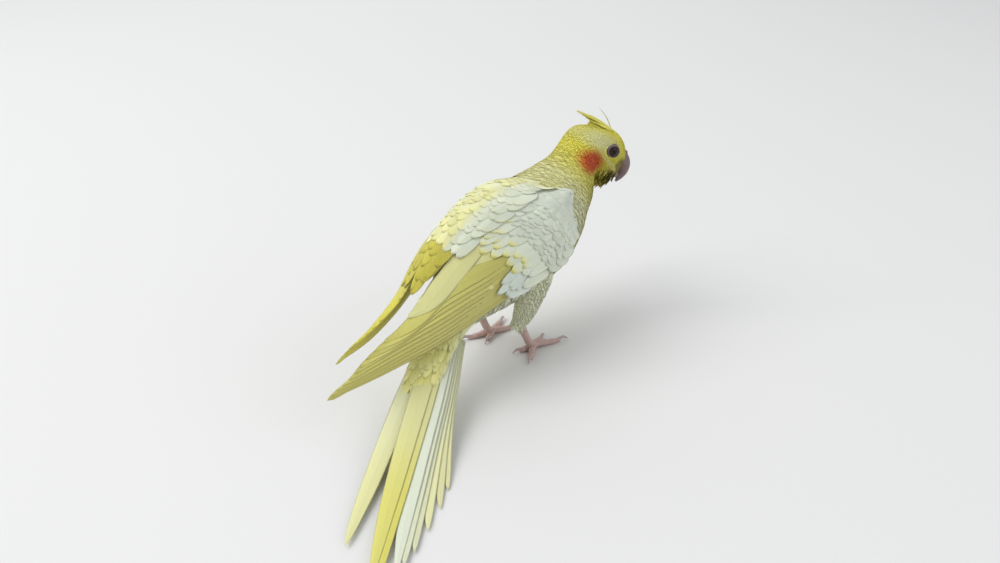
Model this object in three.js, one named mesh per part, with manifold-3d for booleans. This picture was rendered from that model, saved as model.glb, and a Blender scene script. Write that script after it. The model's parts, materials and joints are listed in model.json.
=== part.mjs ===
// A life-size cockatiel, standing on the floor with its long tail laid behind it.
// Millimetres. The bird's body faces +X, its left side is +Y and up is +Z. The floor is the lowest plane.
import * as THREE from "three";
import { mergeVertices } from "three/addons/utils/BufferGeometryUtils.js";
import Module from "manifold-3d";

const wasm = await Module();
wasm.setup();

// Driving sizes
const GAP = 0.3; // space left between two pieces that touch
const HEAD_YAW = -24; // degrees, the head turned to the bird's right
const HEAD_PITCH = -20; // degrees, the bill pointing a little down
const HEAD_AT = [98.5, -5, 91.5]; // middle of the head, between the eyes
const EYE_RADIUS = 4.4;
const EYE_AHEAD = -0.3; // place of an eyeball's middle from the head's middle
const EYE_OFF = 9.1;
const EYE_ABOVE = 1.4;
const WING_ROOT_THICKNESS = 7.8;
const WING_TIP_THICKNESS = 1.6;
const PLUME_THICKNESS = 0.9; // crest feathers
const TAIL_THICKNESS = 0.6;
const TAIL_LAYER = 0.92; // rise from one tail feather to the next above it
const TAIL_ROOT = [-36, -3, 25];
const SIDES = 32; // points round each ring of the body

const radians = THREE.MathUtils.degToRad;
const V = (x, y, z) => new THREE.Vector3(x, y, z);
const lerp = THREE.MathUtils.lerp;
const smoothstep = THREE.MathUtils.smoothstep;

// The body is one smooth tube from the face to the tail root, given by the rings below.
// Each ring stands across the bird: at is its middle, pitch and yaw turn its forward normal,
// wide is half its width, and up and down are its reach above and below the middle.
const headRing = (ahead, rise, wide, up, down, pitch) => ({
  at: headPoint(ahead, 0, rise).toArray(),
  yaw: HEAD_YAW,
  pitch,
  wide,
  up,
  down,
});
const BODY_RINGS = [
  headRing(14.2, -2.6, 5.4, 5.2, 10.5, -22),
  headRing(9.8, -1.0, 9.4, 9.8, 14.5, -20),
  headRing(3, 0, 11.9, 12.6, 18, -14),
  headRing(-5.5, 0, 13.1, 12.2, 19.6, -2),
  headRing(-13.5, -2, 13.8, 11.8, 20, 14),
  { at: [76.5, 0.5, 81.2], yaw: -16, pitch: 30, wide: 16, up: 15.5, down: 19.5 },
  { at: [67, 2, 73.5], yaw: -9, pitch: 38, wide: 19.5, up: 21, down: 21 },
  { at: [55, 1.5, 66.5], yaw: -3, pitch: 36, wide: 23, up: 28, down: 24.5 },
  { at: [38, 0.5, 60], yaw: 0, pitch: 29, wide: 25.5, up: 31, down: 27.5 },
  { at: [18, 0, 56], yaw: 0, pitch: 24, wide: 25.5, up: 31.5, down: 28 },
  { at: [-2, 0, 50], yaw: 0, pitch: 23, wide: 22.5, up: 28, down: 24 },
  { at: [-17, -0.5, 43.5], yaw: 3, pitch: 24, wide: 17.5, up: 21, down: 18 },
  { at: [-30, -1.5, 35.5], yaw: 8, pitch: 25, wide: 12.5, up: 13, down: 10.5 },
  { at: [-43, -5, 27.8], yaw: 16, pitch: 26, wide: 10, up: 7, down: 5.5 },
  { at: [-56, -10, 21.2], yaw: 22, pitch: 24, wide: 9, up: 4.2, down: 3.4 },
];
const NECK_RING = 4; // ring numbers where one named part ends and the next begins
const SHOULDER_RING = 6;
const RUMP_RING = 10.6;

// The forward direction of a ring from its yaw and pitch in degrees.
function forwardOf(yaw, pitch) {
  const y = radians(yaw);
  const p = radians(pitch);
  return V(Math.cos(y) * Math.cos(p), Math.sin(y) * Math.cos(p), Math.sin(p));
}

// Forward, left and upward directions of a frame that is turned by yaw and pitch.
function axesOf(yaw, pitch) {
  const forward = forwardOf(yaw, pitch);
  const left = V(-Math.sin(radians(yaw)), Math.cos(radians(yaw)), 0);
  return { forward, left, up: forward.clone().cross(left) };
}

// A point given ahead of, to the left of and above the middle of the head.
function headPoint(ahead, left, above) {
  const axes = axesOf(HEAD_YAW, HEAD_PITCH);
  return V(...HEAD_AT)
    .addScaledVector(axes.forward, ahead)
    .addScaledVector(axes.left, left)
    .addScaledVector(axes.up, above);
}

// A smooth value through a list of numbers at place s, with whole numbers at the listed ones.
function through(values, s) {
  const last = values.length - 1;
  const i = Math.min(Math.max(Math.floor(s), 0), last - 1);
  const t = s - i;
  const a = values[Math.max(i - 1, 0)];
  const b = values[i];
  const c = values[i + 1];
  const d = values[Math.min(i + 2, last)];
  const slopeB = (c - a) / 2;
  const slopeC = (d - b) / 2;
  return (
    b * (1 + 2 * t) * (1 - t) ** 2 +
    slopeB * t * (1 - t) ** 2 +
    c * t * t * (3 - 2 * t) -
    slopeC * t * t * (1 - t)
  );
}

// The body's outside at place s along its rings and angle turn round them, 0 at the back, grown by extra.
function bodyPoint(s, turn, extra = 0) {
  const pick = (read) => through(BODY_RINGS.map(read), s);
  const axes = axesOf(pick((r) => r.yaw), pick((r) => r.pitch));
  const side = Math.sin(turn) * (pick((r) => r.wide) + extra);
  const rise = Math.cos(turn) * (pick((r) => (Math.cos(turn) > 0 ? r.up : r.down)) + extra);
  return V(pick((r) => r.at[0]), pick((r) => r.at[1]), pick((r) => r.at[2]))
    .addScaledVector(axes.left, side)
    .addScaledVector(axes.up, rise);
}

// A closed solid through rings of points, with a fan of triangles over each end.
function loft(rings) {
  const n = rings[0].length;
  const middle = (ring) => ring.reduce((sum, p) => sum.add(p), V(0, 0, 0)).divideScalar(n);
  const points = [...rings.flat(), middle(rings[0]), middle(rings.at(-1))];
  const first = rings.length * n;
  const faces = [];
  for (let i = 0; i < rings.length - 1; i++)
    for (let j = 0; j < n; j++) {
      const a = i * n + j;
      const b = i * n + ((j + 1) % n);
      faces.push(a, a + n, b, b, a + n, b + n);
    }
  for (let j = 0; j < n; j++) {
    const k = (j + 1) % n;
    const end = (rings.length - 1) * n;
    faces.push(first, j, k);
    faces.push(first + 1, end + k, end + j);
  }
  const geometry = new THREE.BufferGeometry();
  geometry.setAttribute("position", new THREE.Float32BufferAttribute(points.flatMap((p) => p.toArray()), 3));
  geometry.setIndex(faces);
  return outward(geometry);
}

// The same solid with its faces pointing out, whichever way its rings ran.
function outward(geometry) {
  const p = geometry.getAttribute("position");
  const index = geometry.index.array;
  let volume = 0;
  for (let i = 0; i < index.length; i += 3) {
    const [a, b, c] = [0, 1, 2].map((k) => V().fromBufferAttribute(p, index[i + k]));
    volume += a.dot(b.cross(c));
  }
  if (volume < 0) {
    for (let i = 0; i < index.length; i += 3) [index[i], index[i + 1]] = [index[i + 1], index[i]];
  }
  return geometry;
}

function toSolid(geometry) {
  const bare = new THREE.BufferGeometry();
  bare.setAttribute("position", geometry.getAttribute("position"));
  bare.setIndex(geometry.index);
  const merged = mergeVertices(bare, 1e-4);
  return new wasm.Manifold(
    new wasm.Mesh({
      numProp: 3,
      vertProperties: new Float32Array(merged.getAttribute("position").array),
      triVerts: new Uint32Array(merged.index.array),
    }),
  );
}

// The largest single body of a solid as a three.js geometry.
function toGeometry(solid) {
  const largest = solid.decompose().reduce((a, b) => (a.volume() > b.volume() ? a : b));
  const mesh = largest.getMesh();
  const geometry = new THREE.BufferGeometry();
  geometry.setAttribute("position", new THREE.BufferAttribute(mesh.vertProperties, 3));
  geometry.setIndex(new THREE.BufferAttribute(mesh.triVerts, 1));
  geometry.computeVertexNormals();
  return geometry;
}

const bird = new THREE.Group();
bird.name = "cockatiel";

const finish = (color, roughness) => new THREE.MeshStandardMaterial({ color, roughness, metalness: 0 });
const WHITE_FEATHER = finish(0xe6ead2, 0.75);
const YELLOW_FEATHER = finish(0xe3dc62, 0.7);
const HEAD_FEATHER = finish(0xe4df3c, 0.75);
const HORN = finish(0x8d7a78, 0.45);
const SKIN = finish(0xd8a9a0, 0.6);
const EYE_GLOSS = finish(0x1c0d12, 0.08);
const CLAW = finish(0xb9a79c, 0.4);

function add(name, geometry, material) {
  const mesh = new THREE.Mesh(geometry, material);
  mesh.name = name;
  bird.add(mesh);
  return mesh;
}

// A stretch of the body between two places along its rings.
function bodyStretch(from, to, step, extra = 0) {
  const count = Math.max(2, Math.round((to - from) / step));
  const rings = [];
  for (let i = 0; i <= count; i++) {
    const s = lerp(from, to, i / count);
    const ring = [];
    for (let j = 0; j < SIDES; j++) ring.push(bodyPoint(s, (2 * Math.PI * j) / SIDES, extra));
    rings.push(ring);
  }
  return toSolid(loft(rings));
}

const RING_STEP = 0.5;
const CUT = 0.02; // half of a thin cut, in ring steps
const LAST_RING = BODY_RINGS.length - 1;

function ball(middle, radius, detail = 16) {
  const geometry = new THREE.SphereGeometry(radius, detail, detail / 2);
  geometry.translate(middle.x, middle.y, middle.z);
  geometry.deleteAttribute("normal");
  geometry.deleteAttribute("uv");
  return toSolid(mergeVertices(geometry, 1e-3));
}

const eyeMiddle = (side) => headPoint(EYE_AHEAD, side * EYE_OFF, EYE_ABOVE);

// A closed strap along a line of middles: across is its side direction and out its upper direction.
// half and thick give its half width and thickness at each place, and bow lifts its middle line.
function blade(middles, across, out, half, thick, bow = 0) {
  const rings = middles.map((middle, i) => {
    const u = i / (middles.length - 1);
    const w = half(u);
    const t = thick(u) / 2;
    const place = (x, y) =>
      middle
        .clone()
        .addScaledVector(across, x * w)
        .addScaledVector(out, y * t + bow * w * (1 - x * x));
    return [place(-1, -1), place(0, -1), place(1, -1), place(1, 1), place(0, 1), place(-1, 1)];
  });
  return toSolid(loft(rings));
}

// Points of a smooth line through a few places.
function smoothLine(places, count) {
  return new THREE.CatmullRomCurve3(places.map((p) => V(...p)), false, "centripetal").getPoints(count);
}

const bodyGrown = bodyStretch(0, LAST_RING, RING_STEP, GAP);
const sockets = [-1, 1].map((side) => ball(eyeMiddle(side), EYE_RADIUS + GAP));

// Head, neck, trunk and rump are stretches of the one body.
function addBody() {
  let head = bodyStretch(0, NECK_RING - CUT, RING_STEP / 1.5);
  for (const socket of sockets) head = head.subtract(socket);
  add("head", toGeometry(head), HEAD_FEATHER);
  add("neck", toGeometry(bodyStretch(NECK_RING + CUT, SHOULDER_RING - CUT, RING_STEP)), HEAD_FEATHER);
  add("trunk", toGeometry(bodyStretch(SHOULDER_RING + CUT, RUMP_RING - CUT, RING_STEP)), WHITE_FEATHER);
  add("rump", toGeometry(bodyStretch(RUMP_RING + CUT, LAST_RING, RING_STEP)), WHITE_FEATHER);
}

function addEyes() {
  for (const [name, side] of [["eye_right", -1], ["eye_left", 1]])
    add(name, toGeometry(ball(eyeMiddle(side), EYE_RADIUS)), EYE_GLOSS);
}

// A horn of round sections along a line in the head's middle plane.
// Each section is [ahead, above, half width, half height, tilt in degrees].
function horn(sections, sides = 16) {
  const axes = axesOf(HEAD_YAW, HEAD_PITCH);
  const rings = sections.map(([ahead, above, wide, high, tilt]) => {
    const t = radians(tilt);
    const lift = axes.up.clone().multiplyScalar(Math.cos(t)).addScaledVector(axes.forward, Math.sin(t));
    return Array.from({ length: sides }, (_, j) => {
      const a = (2 * Math.PI * j) / sides;
      return headPoint(ahead, 0, above)
        .addScaledVector(axes.left, wide * Math.sin(a))
        .addScaledVector(lift, high * Math.cos(a));
    });
  });
  return loft(rings);
}

const UPPER_BILL = [
  [13.8, -1.4, 4.7, 4.4, 0],
  [16.6, -2.6, 4.4, 4.4, 25],
  [18.8, -5.4, 3.7, 4.0, 60],
  [19.4, -8.8, 2.8, 3.2, 86],
  [18.6, -12.2, 1.7, 2.1, 104],
  [17.0, -15.4, 0.5, 0.6, 116],
];
const LOWER_BILL = [
  [12.0, -10.0, 3.9, 2.4, 5],
  [14.2, -11.2, 3.4, 2.2, 10],
  [15.6, -12.2, 2.2, 1.2, 20],
];

function addBill() {
  const upperSolid = toSolid(horn(UPPER_BILL)).subtract(bodyGrown);
  const upperGrown = toSolid(
    horn(UPPER_BILL.map(([ahead, above, wide, high, tilt]) => [ahead, above, wide + GAP, high + GAP, tilt])),
  );
  add("bill_upper", toGeometry(upperSolid), HORN);
  add("bill_lower", toGeometry(toSolid(horn(LOWER_BILL)).subtract(bodyGrown).subtract(upperGrown)), HORN);
}

// Crest feathers rise from the forehead and crown and sweep back.
function addCrest() {
  const axes = axesOf(HEAD_YAW, HEAD_PITCH);
  const plumes = [
    ["crest_front", [[4, 11], [-3, 15.6], [-10, 18.2], [-17, 18.8], [-24.5, 16.6]], 3.4, 0],
    ["crest_middle", [[-3, 10.5], [-9, 14.4], [-15, 15.6], [-20, 15.2]], 3.6, 0],
    ["crest_curl", [[6, 10], [3, 15], [-2, 18.6], [-8.6, 20.8]], 1.2, 0.8],
  ];
  for (const [name, line, half, aside] of plumes) {
    const middles = smoothLine(line.map(([ahead, above]) => headPoint(ahead, aside, above).toArray()), 10);
    const width = (u) => half * Math.sqrt(Math.max(1 - u, 0.004)) * (0.75 + 0.25 * Math.sin(Math.PI * u));
    const plume = blade(middles, axes.left, axes.up, width, () => PLUME_THICKNESS, -0.25).subtract(bodyGrown);
    add(name, toGeometry(plume), YELLOW_FEATHER);
  }
}

// The right wing as places on its upper edge, over the back, and its lower edge, from bend to tip.
const WING_UPPER = [
  [46, -12, 86],
  [22, -10, 89],
  [-4, -8.5, 85.5],
  [-26, -7, 75.5],
  [-44, -5, 62.5],
  [-60, -3, 48],
  [-79, -2, 39.5],
  [-99, -2, 33],
  [-112, -2.5, 28],
];
const WING_LOWER = [
  [55, -20, 76],
  [44, -26.5, 65],
  [26, -28.5, 54],
  [2, -27.5, 49],
  [-24, -24.5, 43],
  [-50, -18, 35],
  [-72, -12, 30.5],
  [-92, -7.5, 28],
  [-112, -3.5, 27],
];
const WING_BULGE = 9; // how far the folded wing stands out between its edges
const WING_STEPS = 24;
const WING_ROWS = 7;
const WRIST_TO_TIP = 0.62; // the place along the wing from which it is only as thick as its feathers
const FLIGHT_FROM = 0.56; // the place where the long flight feathers leave the body
const WING_CUT = 0.0015; // half of the cut between arm and flight feathers, as a share of the wing's length

// The far wing is held a little higher towards its tip and reaches a little less far back.
const FAR_LIFT = 13;
const FAR_SHORT = 9;

// The wing's outer surface: u runs from the bend to the tip and v from the upper to the lower edge.
function wingPoint(u, v, side) {
  const place = (edge) => V(...[0, 1, 2].map((k) => through(edge.map((p) => p[k]), u * (edge.length - 1))));
  const upper = place(WING_UPPER);
  const lower = place(WING_LOWER);
  const bulge = WING_BULGE * Math.sin(Math.PI * v) * Math.max(1 - u, 0) ** 0.8;
  const out = V(0, upper.z - lower.z, lower.y - upper.y).normalize();
  const point = upper.clone().lerp(lower, v).addScaledVector(V(0, -Math.abs(out.y), Math.abs(out.z)), bulge);
  if (side > 0) point.add(V(FAR_SHORT * Math.max(u, 0) ** 3, 0, FAR_LIFT * Math.max(u, 0) ** 1.6));
  point.y *= -side;
  return point;
}

// The direction into the wing: towards the body over the arm, and square to the surface over the tip.
function wingInward(u, v, side) {
  const step = 0.004;
  const along = wingPoint(u + step, v, side).sub(wingPoint(u - step, v, side));
  const over = wingPoint(u, Math.min(v + step, 1), side).sub(wingPoint(u, Math.max(v - step, 0), side));
  const square = along.cross(over).normalize().multiplyScalar(side);
  const inward = V(0, -side * 0.85, -0.35);
  return inward.lerp(square, smoothstep(u, 0.4, 0.6)).normalize();
}

// The wing between two places along it.
function wingSolid(side, from, to) {
  const rings = [];
  const steps = Math.round((to - from) * WING_STEPS);
  for (let i = 0; i <= steps; i++) {
    const u = lerp(from, to, i / steps);
    const deep = lerp(WING_ROOT_THICKNESS, WING_TIP_THICKNESS, Math.min(1, u / WRIST_TO_TIP));
    const outer = [];
    const inner = [];
    for (let j = 0; j <= WING_ROWS; j++) {
      const p = wingPoint(u, j / WING_ROWS, side);
      outer.push(p);
      inner.unshift(p.clone().addScaledVector(wingInward(u, j / WING_ROWS, side), deep));
    }
    rings.push([...outer, ...inner]);
  }
  return toSolid(loft(rings));
}

// Each wing is parted into the folded arm with its coverts and the long flight feathers.
function addWings() {
  for (const [name, side] of [["right", -1], ["left", 1]]) {
    const arm = wingSolid(side, 0, FLIGHT_FROM - WING_CUT).subtract(bodyGrown);
    add("wing_" + name, toGeometry(arm), WHITE_FEATHER);
    const flight = wingSolid(side, FLIGHT_FROM + WING_CUT, 1).subtract(bodyGrown);
    add("flight_feathers_" + name, toGeometry(flight), YELLOW_FEATHER);
  }
}

// The tail feathers from the lowest to the highest: name, how far to the left of the tail's middle
// each is rooted, where its tip lies on the floor, and its layer near the root and near the tip.
const TAIL_FEATHERS = [
  ["tail_left_outer", 7, [-140, -48], 0, 0],
  ["tail_right_outer", -7, [-152, -80.5], 1, 0],
  ["tail_left_inner", 4.5, [-158, -57.5], 2, 1],
  ["tail_right_inner", -4.5, [-156, -77], 3, 1],
  ["tail_left_middle", 1.5, [-163, -67], 4, 2],
  ["tail_right_middle", -1.5, [-166, -76], 5, 3],
];
const TAIL_HALF = 6.2; // half the width of a tail feather
const TAIL_YAW = 29; // degrees the tail is bent to the bird's right
const FLOOR_FROM = 0.68; // the part of its length at which the tail comes down to the floor
const TAIL_BOW = 3.5; // how far the bent tail swings out to the left between its ends
const TAIL_STEPS = 12;

function addTail() {
  const across = axesOf(TAIL_YAW, 0).left;
  for (const [name, aside, [tipX, tipY], rootLayer, tipLayer] of TAIL_FEATHERS) {
    const root = V(...TAIL_ROOT).addScaledVector(across, aside);
    const middles = [];
    for (let i = 0; i <= TAIL_STEPS; i++) {
      const u = i / TAIL_STEPS;
      const drop = TAIL_ROOT[2] * Math.max(0, 1 - u / FLOOR_FROM) ** 1.6;
      const layer = lerp(rootLayer, tipLayer, smoothstep(u, 0.6, 0.9));
      const height = drop + layer * TAIL_LAYER + TAIL_THICKNESS / 2;
      const place = V(lerp(root.x, tipX, u), lerp(root.y, tipY, u), height);
      middles.push(place.addScaledVector(across, TAIL_BOW * Math.sin(Math.PI * u)));
    }
    const width = (u) =>
      TAIL_HALF * (0.75 + 0.25 * smoothstep(u, 0, 0.3)) * Math.min(1, 0.12 + 1.02 * (1 - u ** 5));
    const feather = blade(middles, across, V(0, 0, 1), width, () => TAIL_THICKNESS).subtract(bodyGrown);
    add(name, toGeometry(feather), name === "tail_right_middle" ? YELLOW_FEATHER : WHITE_FEATHER);
  }
}

// A round tapering tube along a line, with a radius at each place.
function limb(places, radiusAt, count, sides = 8) {
  const curve = new THREE.CatmullRomCurve3(places.map((p) => V(...p)), false, "centripetal");
  const rings = [];
  for (let i = 0; i <= count; i++) {
    const u = i / count;
    const middle = curve.getPointAt(u);
    const along = curve.getTangentAt(u);
    const aside = V(-along.y, along.x, 0);
    if (aside.length() < 0.2) aside.set(0, 1, 0);
    aside.normalize();
    const over = along.clone().cross(aside).normalize();
    const radius = radiusAt(u);
    rings.push(
      Array.from({ length: sides }, (_, j) => {
        const a = (2 * Math.PI * j) / sides;
        return middle
          .clone()
          .addScaledVector(aside, radius * Math.cos(a))
          .addScaledVector(over, radius * Math.sin(a));
      }),
    );
  }
  return toSolid(loft(rings));
}

// Toes of a climbing foot: two point forward and two back. Each has its heading in degrees from
// straight ahead, to the outer side, its length and the length of its claw.
const FOOT_AT = [24, 14]; // where the right foot's toes meet, with the left one mirrored
const ANKLE = [12, 13.5, 20];
const TOES = [
  ["inner", -16, 12.5, 5],
  ["outer", 20, 17, 5.5],
  ["back_outer", 152, 14, 5],
  ["back_inner", -158, 8.5, 4.5],
];
const TOE_RADIUS = 1.75;
const TOE_HEIGHT = 1.15; // height of a toe's middle, so that its underside is a small flat

const floorBlock = boxSolid(0, 0, -10, 600, 600, 20);

function boxSolid(x, y, z, dx, dy, dz) {
  const geometry = new THREE.BoxGeometry(dx, dy, dz);
  geometry.translate(x, y, z);
  geometry.deleteAttribute("normal");
  geometry.deleteAttribute("uv");
  return toSolid(mergeVertices(geometry, 1e-3));
}

// One leg: the feathered thigh, the scaled foot with its shank and toes, and a claw on each toe.
function addLeg(name, side) {
  const [footX, footY] = FOOT_AT;
  const shank = limb(
    [
      [ANKLE[0], side * ANKLE[1], ANKLE[2]],
      [15, side * 13.8, 14],
      [footX - 4, side * footY, 5.5],
      [footX, side * footY, 2.4],
    ],
    (u) => 2.5 - 0.5 * Math.sin(Math.PI * u),
    8,
  );
  const thigh = limb(
    [[34, side * 11, 52], [26, side * 13.5, 40], [16.5, side * 13.8, 26], [11.6, side * 13.4, 20]],
    (u) => lerp(11.5, 3.7, u ** 0.85),
    8,
    12,
  ).subtract(bodyGrown);
  let foot = shank;
  const claws = [];
  for (const [toe, heading, long, clawLong] of TOES) {
    const a = radians(heading);
    const way = V(Math.cos(a), side * Math.sin(a), 0);
    const at = (along, z) => V(footX, side * footY, z).addScaledVector(way, along).toArray();
    const toeLine = [
      at(-0.5, 2.6),
      at(long * 0.35, TOE_HEIGHT + 1),
      at(long * 0.7, TOE_HEIGHT),
      at(long, TOE_HEIGHT),
    ];
    foot = foot.add(limb(toeLine, (u) => TOE_RADIUS * (1.05 - 0.25 * u), 5));
    const clawLine = [
      at(long - 0.2, TOE_HEIGHT + 0.5),
      at(long + clawLong * 0.45, TOE_HEIGHT + 1.3),
      at(long + clawLong * 0.85, TOE_HEIGHT),
      at(long + clawLong, 0.5),
    ];
    claws.push([toe, clawLine]);
  }
  foot = foot.subtract(floorBlock);
  for (const [toe, line] of claws) {
    const claw = limb(line, (u) => lerp(1.05, 0.3, u), 5, 6);
    const socket = limb(line, (u) => lerp(1.05, 0.3, u) + GAP, 5, 6);
    foot = foot.subtract(socket);
    add(`claw_${toe}_${name}`, toGeometry(claw), CLAW);
  }
  const footGrown = limb(
    [[ANKLE[0] - 0.6, side * ANKLE[1], ANKLE[2] + 1.2], [15, side * 13.8, 14]],
    () => 2.5 + GAP,
    3,
  );
  add("thigh_" + name, toGeometry(thigh.subtract(footGrown)), WHITE_FEATHER);
  add("foot_" + name, toGeometry(foot), SKIN);
}

addBody();
addEyes();
addBill();
addCrest();
addWings();
addTail();
addLeg("right", -1);
addLeg("left", 1);

// The origin is on the floor under the middle of the bird's box.
const box = new THREE.Box3().setFromObject(bird, true);
const boxMiddle = box.getCenter(V());
bird.position.set(-boxMiddle.x, -boxMiddle.y, -box.min.z);

export default bird;
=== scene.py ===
# %% [markdown]
# A life-size cockatiel stands on a plain floor with its head turned and its long tail laid behind it. The
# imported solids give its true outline. Here the flesh becomes one smooth skin, and every feather is a thin
# closed piece of mesh that is laid on that skin in the direction in which the coat lies. Every feather
# could also be a strand of hair, but a small mesh keeps its shape and colour wherever the model is
# opened, so solid feathers were chosen.

import json

import bpy
import numpy as np
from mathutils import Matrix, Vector

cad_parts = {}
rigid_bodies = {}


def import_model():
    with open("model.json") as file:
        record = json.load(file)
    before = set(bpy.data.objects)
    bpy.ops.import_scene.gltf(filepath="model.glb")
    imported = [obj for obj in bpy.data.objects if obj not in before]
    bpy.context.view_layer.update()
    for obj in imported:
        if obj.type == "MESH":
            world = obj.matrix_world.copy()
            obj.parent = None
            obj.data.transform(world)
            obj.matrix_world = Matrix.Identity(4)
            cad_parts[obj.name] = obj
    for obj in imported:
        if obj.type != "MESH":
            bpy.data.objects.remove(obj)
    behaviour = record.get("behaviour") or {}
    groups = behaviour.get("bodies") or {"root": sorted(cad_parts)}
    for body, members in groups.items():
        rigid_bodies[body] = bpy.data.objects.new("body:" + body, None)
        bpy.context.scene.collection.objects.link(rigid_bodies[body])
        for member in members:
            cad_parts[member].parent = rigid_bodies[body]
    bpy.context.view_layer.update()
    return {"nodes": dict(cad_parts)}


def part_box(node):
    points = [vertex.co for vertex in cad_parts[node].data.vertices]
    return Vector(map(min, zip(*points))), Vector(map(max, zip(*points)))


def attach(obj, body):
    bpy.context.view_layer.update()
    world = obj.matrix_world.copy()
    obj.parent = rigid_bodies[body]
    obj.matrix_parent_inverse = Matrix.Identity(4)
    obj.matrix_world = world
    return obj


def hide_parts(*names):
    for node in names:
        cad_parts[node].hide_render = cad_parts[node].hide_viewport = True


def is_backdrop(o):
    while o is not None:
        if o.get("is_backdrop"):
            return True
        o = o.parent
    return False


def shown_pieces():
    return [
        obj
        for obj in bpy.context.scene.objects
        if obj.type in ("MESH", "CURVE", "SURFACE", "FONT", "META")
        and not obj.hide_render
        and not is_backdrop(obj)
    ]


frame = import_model()

# %% [markdown]
# The shapes below are worked out in millimetres in the bird's own drawing frame, where the body faces +X.
# One known point, the middle of the right eyeball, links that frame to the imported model, so that every
# new surface lands exactly where its solid is. The distance could be typed in, but measuring it from the
# solids keeps it right if they are packed again.

# %% Directions of the head and body
HEAD_YAW = -24.0  # degrees, the head turned to the bird's right
HEAD_PITCH = -20.0  # degrees, the bill pointing a little down
HEAD_AT = np.array([98.5, -5.0, 91.5])  # middle of the head, between the eyes
EYE_PLACE = np.array([-0.3, 9.1, 1.4])  # ahead of, beside and above the middle of the head
EYE_RADIUS = 4.4


def axes_of(yaw, pitch):
    """Forward, left and up for arrays of yaw and pitch in degrees: forward is turned by yaw about the
    vertical and then raised by pitch, left stays level, and up is forward crossed with left."""
    y, p = np.radians(yaw), np.radians(pitch)
    forward = np.stack([np.cos(y) * np.cos(p), np.sin(y) * np.cos(p), np.sin(p)], -1)
    left = np.stack([-np.sin(y), np.cos(y), np.zeros_like(y + p)], -1)
    return forward, left, np.cross(forward, left)


HEAD_AXES = np.stack(axes_of(np.float64(HEAD_YAW), np.float64(HEAD_PITCH)))


def head_point(ahead, left, above):
    """A point from its distances ahead of, to the left of and above the middle of the head."""
    parts = np.stack(np.broadcast_arrays(ahead, left, above), -1)
    return HEAD_AT + parts @ HEAD_AXES


def in_head(points):
    """The distances ahead, left and above of points: the opposite of head_point."""
    return (points - HEAD_AT) @ HEAD_AXES.T


PER_METRE = 1000.0  # millimetres in a metre
eye_low, eye_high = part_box("eye_right")
eye_middle = (np.array(eye_low) + np.array(eye_high)) / 2 * PER_METRE
SHIFT = head_point(EYE_PLACE[0], -EYE_PLACE[1], EYE_PLACE[2]) - eye_middle
print("drawing frame sits", np.round(SHIFT, 3), "mm from the row frame")

# %% [markdown]
# The body is one tube from the face to the tail's root. Fifteen rings give its middle, its turn and its
# reach to the side, above and below, and a smooth curve runs through each of these numbers from ring to
# ring. A place on the coat is then two numbers: how far along the rings, and the turn round them from the
# back. Skin, markings and feathers all use those two numbers, so they can't drift apart. A bird's body
# could be sculpted, or melted together from balls, but a tube through rings keeps every outline in a few
# numbers that can be read.


# %% The body's rings
def head_ring(ahead, rise, wide, up, down, pitch):
    """A ring placed from the middle of the head, as x, y, z, yaw, pitch, wide, up, down."""
    return [*head_point(ahead, 0.0, rise), HEAD_YAW, pitch, wide, up, down]


BODY_RINGS = np.array([
    head_ring(14.2, -2.6, 5.4, 5.2, 10.5, -22),
    head_ring(9.8, -1.0, 9.4, 9.8, 14.5, -20),
    head_ring(3, 0, 11.9, 12.6, 18, -14),
    head_ring(-5.5, 0, 13.1, 12.2, 19.6, -2),
    head_ring(-13.5, -2, 13.8, 11.8, 20, 14),
    [76.5, 0.5, 81.2, -16, 30, 16, 15.5, 19.5],
    [67, 2, 73.5, -9, 38, 19.5, 21, 21],
    [55, 1.5, 66.5, -3, 36, 23, 28, 24.5],
    [38, 0.5, 60, 0, 29, 25.5, 31, 27.5],
    [18, 0, 56, 0, 24, 25.5, 31.5, 28],
    [-2, 0, 50, 0, 23, 22.5, 28, 24],
    [-17, -0.5, 43.5, 3, 24, 17.5, 21, 18],
    [-30, -1.5, 35.5, 8, 25, 12.5, 13, 10.5],
    [-43, -5, 27.8, 16, 26, 10, 7, 5.5],
    [-56, -10, 21.2, 22, 24, 9, 4.2, 3.4],
])
LAST_RING = len(BODY_RINGS) - 1


def unit(vectors):
    """The same directions, each made one long."""
    return vectors / np.linalg.norm(vectors, axis=-1, keepdims=True)


def through(table, s):
    """Smooth values through the rows of a table at places s. Between two rows each column is the cubic
    whose slope at a row is half the step between that row's neighbours; past the ends it runs straight."""
    last = len(table) - 1
    inside = np.clip(s, 0, last)
    i = np.minimum(inside.astype(int), last - 1)
    t = (inside - i)[:, None]
    before, here = table[np.maximum(i - 1, 0)], table[i]
    there, after = table[i + 1], table[np.minimum(i + 2, last)]
    slope_here, slope_there = (there - before) / 2, (after - here) / 2
    value = (
        here * (1 + 2 * t) * (1 - t) ** 2
        + slope_here * t * (1 - t) ** 2
        + there * t * t * (3 - 2 * t)
        - slope_there * t * t * (1 - t)
    )
    end_slope = np.where((s > inside)[:, None], table[-1] - table[-2], table[1] - table[0])
    return value + end_slope * (s - inside)[:, None]


def body(s, turn, lift):
    """The body's outside at ring place s and turn from the back, grown by lift: the ring's middle, plus
    left times sin(turn) times its half width, plus up times cos(turn) times its reach up or down."""
    ring = through(BODY_RINGS, s)
    _, left, up = axes_of(ring[:, 3], ring[:, 4])
    rise = np.where(np.cos(turn) > 0, ring[:, 6], ring[:, 7])
    across = np.sin(turn) * (ring[:, 5] + lift)
    above = np.cos(turn) * (rise + lift)
    return ring[:, :3] + left * across[:, None] + up * above[:, None]


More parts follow.
